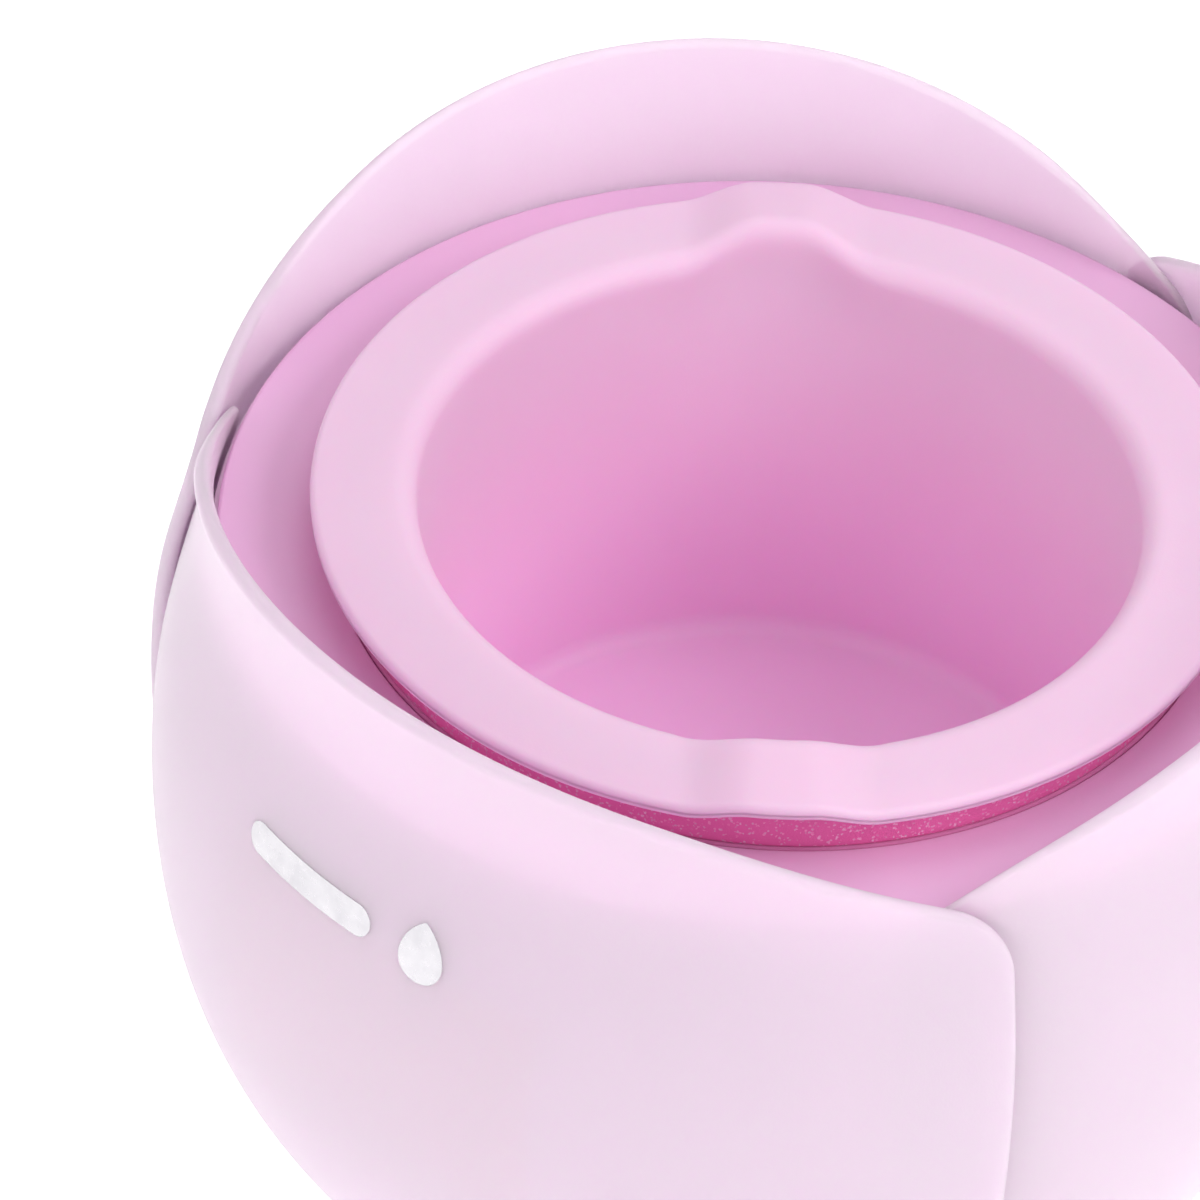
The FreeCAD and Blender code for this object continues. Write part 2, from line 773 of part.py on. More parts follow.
def make_heater():
    """A heating plate against the pot's floor, with the resistance ring in a groove on its underside."""
    groove_top = f"{PLATE_FOOT} + element_thick"
    plate = turned_body("heater_plate", [
        ("0", PLATE_FOOT),
        ("element_inner", PLATE_FOOT),
        ("element_inner", groove_top),
        ("element_outer", groove_top),
        ("element_outer", PLATE_FOOT),
        ("heater_radius", PLATE_FOOT),
        ("heater_radius", POT_FOOT),
        ("0", POT_FOOT),
    ])
    keep(plate, "heater_plate")

    element = turned_body("heater_element", [
        ("element_inner", PLATE_FOOT),
        ("element_outer", PLATE_FOOT),
        ("element_outer", groove_top),
        ("element_inner", groove_top),
    ])
    near = "element_tab_radius - element_tab_y / 2"
    far = "element_tab_radius + element_tab_y / 2"
    for number, side in enumerate(SIDES):
        left = f"{side} * element_tab_spacing / 2 - element_tab_x / 2"
        right = f"{side} * element_tab_spacing / 2 + element_tab_x / 2"
        corners = [(left, near), (right, near), (right, far), (left, far)]
        pad(element, f"terminal_{number}", f"{PLATE_FOOT} - element_tab_drop",
            lambda sketch, corners=corners: outline(sketch, corners), "element_tab_drop + element_tab_root")
    keep(element, "heater_element")


def make_sensors():
    """The thermistor and the thermal fuse under the heating plate."""
    case = primitive("Cylinder", "thermistor_case",
                     at=("-thermistor_x", "0", f"{PLATE_FOOT} - thermistor_height"),
                     Radius="thermistor_radius", Height="thermistor_height")
    tab = block("thermistor_tab", ("-thermistor_tab_reach", "-thermistor_x + thermistor_tab_root"),
                ("-thermistor_radius", "thermistor_radius"),
                (f"{PLATE_FOOT} - thermistor_tab_thick", PLATE_FOOT))
    keep(fuse("thermistor", [case, tab]), "thermistor")

    barrel = primitive("Cylinder", "fuse_barrel",
                       at=("barrel_start", "-barrel_y", f"{PLATE_FOOT} - barrel_drop"),
                       axis=ALONG_Y, angle=90, Radius="barrel_radius", Height="barrel_length")
    saddle = block("fuse_saddle", ("saddle_start", "saddle_start + saddle_length"),
                   ("-barrel_y - saddle_width / 2", "-barrel_y + saddle_width / 2"),
                   (f"{PLATE_FOOT} - saddle_thick", PLATE_FOOT))
    keep(fuse("thermal_fuse", [barrel, saddle]), "thermal_fuse")


def make_insulation():
    """A glass-fibre sleeve round the pot."""
    sleeve = turned_body("insulation_sleeve", [
        ("wrap_inner", "wrap_foot"),
        ("wrap_inner + wrap_thick", "wrap_foot"),
        ("wrap_inner + wrap_thick", "wrap_foot + wrap_height"),
        ("wrap_inner", "wrap_foot + wrap_height"),
    ])
    keep(sleeve, "insulation_sleeve")


def make_deck():
    """The dished ring between the pot and the petals, with a skirt that plugs into the housing."""
    ledge = f"{RIM_FOOT} - seal_thick"
    ledge_inner = "pot_rim_radius - seal_width"
    skirt_outer = f"{housing_radius_text()} - housing_wall - skirt_play"
    seat_radius = "pot_rim_radius + pot_seat_play"
    deck = turned_body("top_deck", [
        (ledge_inner, f"{ledge} - deck_thick"),
        (f"{skirt_outer} - skirt_wall", f"{ledge} - deck_thick"),
        (f"{skirt_outer} - skirt_wall", f"{ledge} - deck_skirt"),
        (skirt_outer, f"{ledge} - deck_skirt"),
        (skirt_outer, f"{DECK_EDGE} - deck_thick"),
        ("deck_radius", f"{DECK_EDGE} - deck_thick"),
        ("deck_radius", DECK_EDGE),
        (seat_radius, RIM_FOOT),
        (seat_radius, ledge),
        (ledge_inner, ledge),
    ])
    round_rings(deck, "deck_edge", [("deck_radius", DECK_EDGE)], "deck_edge_round")
    keep(deck, "top_deck")
    seal = turned_body("pot_seal", [
        (f"{ledge_inner} + seal_inner_play", ledge),
        ("pot_rim_radius + seal_outer_play", ledge),
        ("pot_rim_radius + seal_outer_play", RIM_FOOT),
        (f"{ledge_inner} + seal_inner_play", RIM_FOOT),
    ])
    keep(seal, "pot_seal")


def housing_radius_text():
    """The housing's outer radius at its top, as an expression of numbers."""
    top = size(f"{DECK_EDGE} - deck_thick")
    return f"{bulb_radius(top):.3f} - petal_wall - petal_gap"


# ---------------------------------------------------------------------------------------------------
# Housing, base and bracket
# ---------------------------------------------------------------------------------------------------
def bulb_shell():
    """The plain turned shell of the housing, with its bottom flange."""
    foot = size("petal_foot + petal_lip_thick")
    top = size(f"{DECK_EDGE} - deck_thick")
    outer_inset = size("petal_wall + petal_gap")
    inner_inset = outer_inset + size("housing_wall")
    heights = [foot + (top - foot) * step / SHELL_STEPS for step in range(SHELL_STEPS + 1)]
    outer = Part.BSplineCurve()
    outer.interpolate([Vector(bulb_radius(height) - outer_inset, 0, height) for height in heights])
    inner = Part.BSplineCurve()
    inner.interpolate([Vector(bulb_radius(height) - inner_inset, 0, height) for height in reversed(heights)])
    outer_top = outer.value(outer.LastParameter)
    outer_foot = outer.value(outer.FirstParameter)
    inner_top = inner.value(inner.FirstParameter)
    inner_foot = inner.value(inner.LastParameter)
    section = Part.Wire([
        outer.toShape(),
        Part.LineSegment(outer_top, inner_top).toShape(),
        inner.toShape(),
        Part.LineSegment(inner_foot, outer_foot).toShape(),
    ])
    wall = Part.Face(section).revolve(Vector(0, 0, 0), UP, 360)
    flange_outer = outer_foot.x - size("housing_wall") / 2
    flange = Part.makeCylinder(flange_outer, size("housing_flange"), Vector(0, 0, foot))
    flange = flange.cut(Part.makeCylinder(size("lip_inner"), size("housing_flange"), Vector(0, 0, foot)))
    return wall.fuse(flange).Solids[0]


def make_housing():
    """The shell under the petals: display opening at the front, screw bosses at the foot."""
    foot = "petal_foot + petal_lip_thick"
    half_x = "window_x / 2 + display_play"
    half_z = "window_z / 2 + display_play"
    added = [shaped("housing_shell", bulb_shell())]
    removed = [block("display_opening", (f"-({half_x})", half_x),
                     ("-window_front - tool_reach", "-window_front + opening_depth"),
                     (f"window_height - ({half_z})", f"window_height + {half_z}"))]
    for number, angle in enumerate(SCREW_ANGLES):
        x, y = on_circle("screw_circle", angle)
        added.append(primitive("Cylinder", f"housing_boss_{number}", at=(x, y, foot),
                               Radius="boss_radius", Height="housing_boss_height"))
        removed.append(primitive("Cylinder", f"housing_hole_{number}", at=(x, y, foot),
                                 Radius="screw_radius", Height="housing_boss_height - housing_hole_cap"))
    for number, side in enumerate(SIDES):
        back = (f"{side} * ear_reach", "-window_front + frame_depth", "window_height")
        added.append(primitive("Cylinder", f"display_boss_{number}", at=back, axis=ALONG_X, angle=90,
                               Radius="ear_boss_radius", Height="ear_boss_length"))
        removed.append(primitive("Cylinder", f"display_hole_{number}", at=back, axis=ALONG_X, angle=90,
                                 Radius="screw_radius", Height="ear_boss_length - ear_hole_cap"))
    keep(cut("inner_housing", fuse("housing_solid", added), removed), "inner_housing")


def make_base():
    """The base plate: a dish with screw bosses, board posts, vents, foot recesses and the inlet's opening."""
    base = turned_body("base_dish", [
        ("0", "foot_height"),
        ("base_radius - base_chamfer", "foot_height"),
        ("base_radius", "foot_height + base_chamfer"),
        ("base_radius", "petal_foot"),
        ("base_radius - base_wall", "petal_foot"),
        ("base_radius - base_wall", BASE_FLOOR_TOP),
        ("0", BASE_FLOOR_TOP),
    ])
    low = f"{BASE_FLOOR_TOP} - boss_root"

    def screw_bosses(sketch):
        for angle in SCREW_ANGLES:
            circle(sketch, *on_circle("screw_circle", angle), "boss_radius")

    def screw_holes(sketch):
        for angle in SCREW_ANGLES:
            circle(sketch, *on_circle("screw_circle", angle), "screw_hole")

    def head_holes(sketch):
        for angle in SCREW_ANGLES:
            circle(sketch, *on_circle("screw_circle", angle), "screw_head_radius + screw_head_play")

    def bracket_bosses(sketch):
        for angle in BRACKET_ANGLES:
            circle(sketch, *on_circle("bracket_circle", angle), "boss_radius")

    def bracket_holes(sketch):
        for angle in BRACKET_ANGLES:
            circle(sketch, *on_circle("bracket_circle", angle), "screw_radius")

    def board_posts(sketch):
        for x, y in BOARD_HOLES:
            circle(sketch, x, y, "board_post_radius")

    def board_holes(sketch):
        for x, y in BOARD_HOLES:
            circle(sketch, x, y, "board_screw_radius")

    def foot_recesses(sketch):
        for angle in FOOT_ANGLES:
            circle(sketch, *on_circle("foot_circle", angle), "foot_radius + foot_play")

    def vent(sketch):
        left, right = "-vent_length / 2", "vent_length / 2"
        near, far = "vent_radius", "vent_radius + vent_width"
        outline(sketch, [(left, near), (right, near), (right, far), (left, far)])

    pad(base, "screw_bosses", low, screw_bosses, f"petal_foot - ({low})")
    pad(base, "bracket_bosses", low, bracket_bosses, "bracket_boss_height + boss_root")
    pad(base, "board_posts", low, board_posts, f"board_height - ({low})")
    pocket(base, "screw_holes", "foot_height", screw_holes, "petal_foot")
    pocket(base, "head_holes", "foot_height", head_holes, "base_floor")
    pocket(base, "bracket_holes", low, bracket_holes, "bracket_boss_height + 2 * boss_root")
    pocket(base, "board_holes", low, board_holes, "board_height")
    pocket(base, "foot_recesses", "foot_height", foot_recesses, "foot_recess")
    slot = pocket(base, "vent", "foot_height", vent, "base_floor")
    pattern(base, "vents", [slot], VENT_COUNT)

    land = block("inlet_land", ("-inlet_x / 2 - inlet_land_side", "inlet_x / 2 + inlet_land_side"),
                 ("base_radius - base_wall - inlet_land_root", INLET_FACE),
                 ("foot_height + inlet_land_lift", "petal_foot"))
    opening = block("inlet_opening", ("-inlet_x / 2 - inlet_play", "inlet_x / 2 + inlet_play"),
                    ("base_radius - base_wall - tool_past", "base_radius + tool_past"),
                    ("inlet_centre - inlet_z / 2 - inlet_play", "inlet_centre + inlet_z / 2 + inlet_play"))
    whole = fuse("base_with_land", [base, land])
    keep(cut("base_plate", whole, [opening]), "base_plate")


def make_feet():
    """Four soft feet in the base plate's recesses, each a low pad with a chamfered sole."""
    feet = []
    for number, angle in enumerate(FOOT_ANGLES):
        x, y = on_circle("foot_circle", angle)
        upper = primitive("Cylinder", f"foot_pad_{number}", at=(x, y, "foot_chamfer"), Radius="foot_radius",
                          Height="foot_height + foot_recess - foot_chamfer")
        sole = primitive("Cone", f"foot_sole_{number}", at=(x, y, "0"), Radius1="foot_radius - foot_chamfer",
                         Radius2="foot_radius", Height="foot_chamfer")
        feet.append(fuse(f"foot_{number}", [upper, sole]))
    keep(group("rubber_feet", feet), "rubber_feet")


def make_bracket():
    """The steel ring that carries the heater plate, on three legs with screwed feet."""
    foot = f"{BASE_FLOOR_TOP} + bracket_boss_height"
    rim = "heater_radius + bracket_rim"
    parts = [turned_body("bracket_ring", [
        ("bracket_inner", f"{PLATE_FOOT} - bracket_thick"),
        (rim, f"{PLATE_FOOT} - bracket_thick"),
        (rim, PLATE_FOOT),
        ("bracket_inner", PLATE_FOOT),
    ])]
    holes = []
    width = ("-leg_width / 2", "leg_width / 2")
    front = f"-({rim})"
    for number, angle in enumerate(BRACKET_ANGLES):
        leg = block(f"leg_{number}_upright", width, (front, f"{front} + bracket_thick"), (foot, PLATE_FOOT))
        toe = block(f"leg_{number}_toe", width, (front, f"{front} + leg_toe"),
                    (foot, f"{foot} + bracket_thick"))
        bent = fuse(f"leg_{number}", [leg, toe])
        bent.Placement = FreeCAD.Placement(Vector(0, 0, 0), Rotation(UP, angle))
        parts.append(bent)
        holes.append(primitive("Cylinder", f"leg_{number}_hole",
                               at=(*on_circle("bracket_circle", angle), foot),
                               Radius="screw_hole", Height="bracket_thick"))
    keep(cut("pot_bracket", fuse("bracket_solid", parts), holes), "pot_bracket")


def make_screws():
    """Six screws up through the base, petals and housing, and three down through the bracket's feet."""
    base = [screw(f"base_screw_{number}",
                  (*on_circle("screw_circle", angle), "foot_height + base_screw_sink"),
                  "base_screw_shank")
            for number, angle in enumerate(SCREW_ANGLES)]
    keep(group("base_screws", base), "base_screws")
    head_top = f"{BASE_FLOOR_TOP} + bracket_boss_height + bracket_thick + screw_head_height"
    bracket = [screw(f"bracket_screw_{number}", (*on_circle("bracket_circle", angle), head_top),
                     "bracket_screw_shank", ALONG_X, 180)
               for number, angle in enumerate(BRACKET_ANGLES)]
    keep(group("bracket_screws", bracket), "bracket_screws")


# ---------------------------------------------------------------------------------------------------
# Power side
# ---------------------------------------------------------------------------------------------------
def make_power_board():
    """The control board and its four screws."""
    board = block("board_plate", ("-board_x / 2", "board_x / 2"), ("-board_y / 2", "board_y / 2"),
                  ("board_height", BOARD_TOP))
    holes = []
    screws = []
    for number, (x, y) in enumerate(BOARD_HOLES):
        holes.append(primitive("Cylinder", f"board_hole_{number}", at=(x, y, "board_height"),
                               Radius="board_hole_radius", Height="board_thick"))
        head = primitive("Cylinder", f"board_screw_head_{number}", at=(x, y, BOARD_TOP),
                         Radius="board_screw_head_radius", Height="board_screw_head")
        shank = primitive("Cylinder", f"board_screw_shank_{number}",
                          at=(x, y, f"{BOARD_TOP} - board_screw_shank"), Radius="board_screw_radius",
                          Height="board_screw_shank + board_screw_head / 2")
        screws.append(fuse(f"board_screw_{number}", [head, shank]))
    keep(cut("power_board", board, holes), "power_board")
    keep(group("board_screws", screws), "board_screws")


def make_board_parts():
    """What stands on the control board: transformer, relay, capacitor and terminal block."""
    core = block("transformer_core", ("core_middle_x - core_x / 2", "core_middle_x + core_x / 2"),
                 ("-core_y / 2", "core_y / 2"), (BOARD_TOP, f"{BOARD_TOP} + core_z"))
    winding = primitive("Cylinder", "transformer_winding",
                        at=("core_middle_x", "-winding_length / 2", f"{BOARD_TOP} + core_z / 2"),
                        axis=ALONG_X, angle=-90, Radius="winding_radius", Height="winding_length")
    keep(fuse("transformer", [core, winding]), "transformer")

    keep(block("relay", ("relay_middle_x - relay_x / 2", "relay_middle_x + relay_x / 2"),
               ("relay_middle_y - relay_y / 2", "relay_middle_y + relay_y / 2"),
               (BOARD_TOP, f"{BOARD_TOP} + relay_z")), "relay")
    keep(primitive("Cylinder", "capacitor", at=("capacitor_x", "capacitor_y", BOARD_TOP),
                   Radius="capacitor_radius", Height="capacitor_height"), "capacitor")

    terminal = block("terminal_body", ("-terminal_x / 2", "terminal_x / 2"),
                     ("terminal_front", "terminal_back"), (BOARD_TOP, f"{BOARD_TOP} + terminal_z"))
    mouths = []
    for number, side in enumerate(SIDES):
        middle = f"{side} * terminal_spacing / 2"
        entry = f"{BOARD_TOP} + terminal_mouth_height"
        mouths.append(block(f"terminal_mouth_{number}",
                            (f"{middle} - terminal_mouth / 2", f"{middle} + terminal_mouth / 2"),
                            ("terminal_back - terminal_mouth_depth", "terminal_back + 1"),
                            (f"{entry} - terminal_mouth / 2", f"{entry} + terminal_mouth / 2")))
    keep(cut("terminal_block", terminal, mouths), "terminal_block")


def make_inlet():
    """A two-pin mains inlet with a figure-of-eight mouth, in the base plate's back wall."""
    body = block("inlet_body", ("-inlet_x / 2", "inlet_x / 2"), (f"{INLET_FACE} - inlet_depth", INLET_FACE),
                 ("inlet_centre - inlet_z / 2", "inlet_centre + inlet_z / 2"))
    flange = block("inlet_flange_plate",
                   ("-inlet_x / 2 - inlet_flange_side", "inlet_x / 2 + inlet_flange_side"),
                   (INLET_FACE, f"{INLET_FACE} + inlet_flange"),
                   ("inlet_centre - inlet_z / 2 - inlet_flange_margin",
                    "inlet_centre + inlet_z / 2 + inlet_flange_margin"))
    start = f"{INLET_FACE} + inlet_flange - socket_depth"
    hollows = [block("socket_waist", ("-pin_spacing / 2", "pin_spacing / 2"),
                     (start, f"{start} + tool_reach"),
                     ("inlet_centre - socket_radius", "inlet_centre + socket_radius"))]
    pins = []
    for number, side in enumerate(SIDES):
        x = f"{side} * pin_spacing / 2"
        pin_start = f"{start} - pin_tail"
        hollows.append(primitive("Cylinder", f"socket_round_{number}", at=(x, start, "inlet_centre"),
                                 axis=ALONG_X, angle=-90, Radius="socket_radius", Height="tool_reach"))
        hollows.append(primitive("Cylinder", f"pin_hole_{number}", at=(x, pin_start, "inlet_centre"),
                                 axis=ALONG_X, angle=-90, Radius="pin_radius",
                                 Height="pin_tail + pin_radius"))
        pins.append(primitive("Cylinder", f"pin_{number}", at=(x, pin_start, "inlet_centre"),
                              axis=ALONG_X, angle=-90, Radius="pin_radius",
                              Height="socket_depth + pin_tail - pin_tip_inset"))
    keep(cut("power_inlet", fuse("inlet_solid", [body, flange]), hollows), "power_inlet")
    keep(group("inlet_pins", pins), "inlet_pins")


def lead_pair(route):
    """Two insulated leads, each along the route for its side of the middle plane."""
    tubes = [wire_tube([Vector(*point) for point in route(side)], size("wire_radius"), size("wire_bend"))
             for side in (-1, 1)]
    return Part.makeCompound(tubes)


def make_leads():
    """The leads from the inlet to the terminal block, and from the board to the heating element."""
    pin_x = size("pin_spacing") / 2
    pin_back = size(f"{INLET_FACE} + inlet_flange - socket_depth - pin_tail")
    inlet_height = size("inlet_centre")
    entry_x = size("terminal_spacing") / 2
    entry_y = size("terminal_back - terminal_mouth_depth + lead_end_play")
    entry_height = size(f"{BOARD_TOP} + terminal_mouth_height")
    board_top = size(BOARD_TOP)
    tab_x = size("element_tab_spacing") / 2
    tab_y = size("element_tab_radius")
    tab_foot = size(f"{PLATE_FOOT} - element_tab_drop")
    straight_end = pin_back - size("mains_lead_straight")
    turn_y = size("mains_lead_turn")
    start_y = size("heater_lead_y")
    rise = board_top + size("heater_lead_rise")
    climb = board_top + size("heater_lead_climb")

    def mains(side):
        return [(side * pin_x, pin_back, inlet_height), (side * pin_x, straight_end, inlet_height),
                (side * entry_x, turn_y, entry_height), (side * entry_x, entry_y, entry_height)]

    def heater(side):
        start_x = size("heater_lead_x") + side * size("heater_lead_spacing") / 2
        return [(start_x, start_y, board_top), (start_x, start_y, rise),
                (side * tab_x, tab_y, climb), (side * tab_x, tab_y, tab_foot)]

    keep(shaped("mains_leads", lead_pair(mains)), "mains_leads")
    keep(shaped("heater_leads", lead_pair(heater)), "heater_leads")


def make_ribbon():
    """The flat ribbon from the power board up to the back of the display board."""
    start_y = -size("ribbon_start")
    board_top = size(BOARD_TOP)
    back = -size("display_board_back")
    beside = back + size("ribbon_gap")
    end_height = size("window_height - ribbon_end_drop")
    path = rounded_path([
        Vector(0, start_y, board_top),
        Vector(0, start_y, board_top + size("ribbon_rise")),
        Vector(0, beside, board_top + size("ribbon_climb")),
        Vector(0, beside, end_height),
        Vector(0, back, end_height),
    ], size("ribbon_bend"))
    half_x, half_y = size("ribbon_x") / 2, size("ribbon_thick") / 2
    corners = [(-half_x, -half_y), (half_x, -half_y), (half_x, half_y), (-half_x, half_y), (-half_x, -half_y)]
    section = Part.makePolygon([Vector(x, start_y + y, board_top) for x, y in corners])
    keep(shaped("display_ribbon", swept(path, section)), "display_ribbon")


# ---------------------------------------------------------------------------------------------------
# Display side
# ---------------------------------------------------------------------------------------------------
def display_plate(name, y, trim):
    """A plate the size of the display window, trimmed by an amount on every side."""
    half_x = f"(window_x / 2 - ({trim}))"
    half_z = f"(window_z / 2 - ({trim}))"
    return block(name, (f"-{half_x}", half_x), y, (f"window_height - {half_z}", f"window_height + {half_z}"))


def make_display():
    """The panel behind the front petal: window, board, digits and touch pads."""
    board_front = "-display_board_back - board_thick"
    keep(display_plate("display_window", ("-window_front", WINDOW_BACK), "0"), "display_window")
    keep(display_plate("display_board", (board_front, "-display_board_back"),
                       "frame_wall + display_board_play"), "display_board")
    digit_centre = "window_height + digit_lift"
    keep(block("digit_module", ("-digit_x / 2", "digit_x / 2"), (WINDOW_BACK, board_front),
               (f"{digit_centre} - digit_z / 2", f"{digit_centre} + digit_z / 2")), "digit_module")
    pads = [primitive("Cylinder", f"touch_pad_{number}",
                      at=(f"{step} * pad_spacing", board_front, "window_height - pad_drop"),
                      axis=ALONG_X, angle=90, Radius="pad_radius",
                      Height=f"({board_front}) - ({WINDOW_BACK})")
            for number, step in enumerate(KEY_PLACES)]
    keep(group("touch_pads", pads), "touch_pads")


def make_display_frame():
    """The frame behind the window, screwed by two ears to the housing's bosses."""
    board_front = "-display_board_back - board_thick"
    ear_front = "-window_front + frame_depth"
    frame_back = f"{ear_front} + ear_thick"
    behind = f"{frame_back} + tool_past"
    solid = [display_plate("frame_block", (WINDOW_BACK, frame_back), "frame_trim")]
    hollow = [
        display_plate("frame_hollow", (f"{WINDOW_BACK} - tool_past", behind), "frame_wall + frame_ledge"),
        display_plate("frame_rebate", (board_front, behind), "frame_wall"),
    ]
    screws = []
    for number, side in enumerate(SIDES):
        x = f"{side} * ear_reach"
        middle = f"{side} * ear_middle"
        solid.append(block(f"frame_ear_{number}", (f"{middle} - ear_x / 2", f"{middle} + ear_x / 2"),
                           (ear_front, frame_back),
                           ("window_height - ear_z / 2", "window_height + ear_z / 2")))
        hollow.append(primitive("Cylinder", f"ear_hole_{number}", at=(x, behind, "window_height"),
                                axis=ALONG_X, angle=90, Radius="screw_hole",
                                Height="ear_thick + 2 * tool_past"))
        screws.append(screw(f"display_screw_{number}",
                            (x, f"{frame_back} + screw_head_height", "window_height"),
                            "display_screw_shank", ALONG_X, 90))
    keep(cut("display_frame", fuse("frame_solid", solid), hollow), "display_frame")
    keep(group("display_screws", screws), "display_screws")


# ---------------------------------------------------------------------------------------------------
# Build, check and write
# ---------------------------------------------------------------------------------------------------
make_petals()
make_liner()
make_pot()
make_heater()
make_sensors()
make_insulation()
make_deck()
make_housing()
make_base()
make_feet()
make_bracket()
make_screws()
make_power_board()
make_board_parts()
make_inlet()
make_leads()
make_ribbon()
make_display()
make_display_frame()
doc.recompute()

for item in doc.Objects:
    if "Invalid" in item.State or "Error" in item.State:
        raise RuntimeError(f"{item.Label} failed: {item.State}")
for item in sub_parts:
    if item.Shape.isNull() or not item.Shape.isValid():
        raise RuntimeError(f"{item.Label} has no valid shape")

os.makedirs("parts", exist_ok=True)
for item in sub_parts:
    item.Shape.exportStep(f"parts/{item.Label}.step")
    box = item.Shape.BoundBox
    print(f"{item.Label:18s} solids {len(item.Shape.Solids)}  volume {item.Shape.Volume:10.0f}"
          f"  z {box.ZMin:6.1f} to {box.ZMax:6.1f}")
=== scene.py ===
"""Looks of the wax warmer pot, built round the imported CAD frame.

Metres, +Z up, in the CAD frame: the origin is on the pot's axis at the level of the feet's soles.
Azimuths are counted from -Y, where the display looks, towards +X.
"""
import math

import bmesh
import bpy
import numpy as np
from mathutils import Matrix, Vector


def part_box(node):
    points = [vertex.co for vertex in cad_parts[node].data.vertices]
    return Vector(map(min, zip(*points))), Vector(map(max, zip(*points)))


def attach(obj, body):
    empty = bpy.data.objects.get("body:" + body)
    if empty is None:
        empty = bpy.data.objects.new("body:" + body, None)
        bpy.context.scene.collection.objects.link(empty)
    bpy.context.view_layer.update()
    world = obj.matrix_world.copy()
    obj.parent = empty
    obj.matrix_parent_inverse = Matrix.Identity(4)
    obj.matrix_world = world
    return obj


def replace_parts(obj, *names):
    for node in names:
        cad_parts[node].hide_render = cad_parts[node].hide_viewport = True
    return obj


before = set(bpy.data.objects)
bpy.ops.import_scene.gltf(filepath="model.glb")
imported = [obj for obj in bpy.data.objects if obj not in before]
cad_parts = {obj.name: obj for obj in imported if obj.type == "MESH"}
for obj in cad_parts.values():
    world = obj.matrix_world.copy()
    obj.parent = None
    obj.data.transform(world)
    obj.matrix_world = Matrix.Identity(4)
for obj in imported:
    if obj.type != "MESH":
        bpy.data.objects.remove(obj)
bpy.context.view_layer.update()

MM = 0.001

# ---------------------------------------------------------------------------------------------------
# Sizes in millimetres: the frame's own boxes, then what a box can't tell
# ---------------------------------------------------------------------------------------------------


def reach(node):
    """How far a node reaches along +X: the largest radius of one centred on the axis."""
    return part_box(node)[1].x / MM


def foot_of(node):
    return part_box(node)[0].z / MM


def top_of(node):
    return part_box(node)[1].z / MM


def middle_height(node):
    return (foot_of(node) + top_of(node)) / 2


FLANGE_RADIUS = reach("silicone_liner")
LINER_FOOT = foot_of("silicone_liner")
POT_RADIUS = reach("heating_pot")
POT_TOP = top_of("heating_pot")
POT_FOOT = foot_of("heating_pot")
SEAL_TOP = top_of("pot_seal")
SEAL_FOOT = foot_of("pot_seal")
DECK_RADIUS = reach("top_deck")
DECK_FOOT = foot_of("top_deck")
DECK_TOP = top_of("top_deck")
PETAL_FOOT = foot_of("petal_front")
FLANGE_THICK = 2.4
FLANGE_RISE = 0.8
MOUTH_TOP = POT_TOP + FLANGE_THICK + FLANGE_RISE
MOUTH_RADIUS = 51.0
BOWL_FLOOR_RADIUS = 49.0
LINER_FLOOR = 2.2
BOWL_FLOOR = LINER_FOOT + LINER_FLOOR
LINER_WALL_TOP = 56.1
LINER_WALL_FOOT = 51.5
POT_WALL = 2.5
HOUSING_GAP = 1.0
HOUSING_WALL = 2.2

# Outer face of a petal in its middle: heights and radii from the foot to the tip.
BULB_HEIGHTS = np.array([15.5, 36.0, 58.0, 81.0, 103.0, 126.0, 143.0])
BULB_RADII = np.array([65.0, 78.3, 85.7, 87.7, 85.9, 81.9, 84.6])
PETAL_AZIMUTHS = {"petal_front": 0, "petal_right": 120, "petal_left": 240}
PETAL_WALL = 2.4
PETAL_THIN_WALL = 1.3
PETAL_RIM_CENTRE = 142.8
PETAL_DIP = 19.8
PETAL_LEAN = 3.0
PETAL_LEFT_END = -65.5
PETAL_RIGHT_END = 65.2
PETAL_JOGGLE = 1.7
PETAL_INSET = 0.05
RIM_RADIUS = 81.9
LEFT_CORNER = 4.0
RIGHT_CORNER = 8.0

# The inward lip at a petal's foot and its screw holes.
LIP_INNER = 47.5
LIP_OUTER = 63.6
LIP_THICK = 2.0
LIP_HALF_ANGLE = 57.0
LIP_HOLE_AZIMUTHS = (-30, 30)
LIP_HOLE_CIRCLE = 53.0
LIP_HOLE_RADIUS = 1.7


# ---------------------------------------------------------------------------------------------------
# Mesh helpers
# ---------------------------------------------------------------------------------------------------
def polar(radius, azimuth, height):
    """Points from radii and heights in millimetres and azimuths in degrees, as an array in metres."""
    turn = np.radians(azimuth)
    radius, turn, height = np.broadcast_arrays(radius, turn, height)
    return np.stack([radius * np.sin(turn), -radius * np.cos(turn), height], axis=-1) * MM


def smooth_step(value, start, end):
    """Rises smoothly from 0 at start to 1 at end."""
    share = np.clip((np.asarray(value, float) - start) / (np.asarray(end) - start), 0.0, 1.0)
    return share * share * (3 - 2 * share)


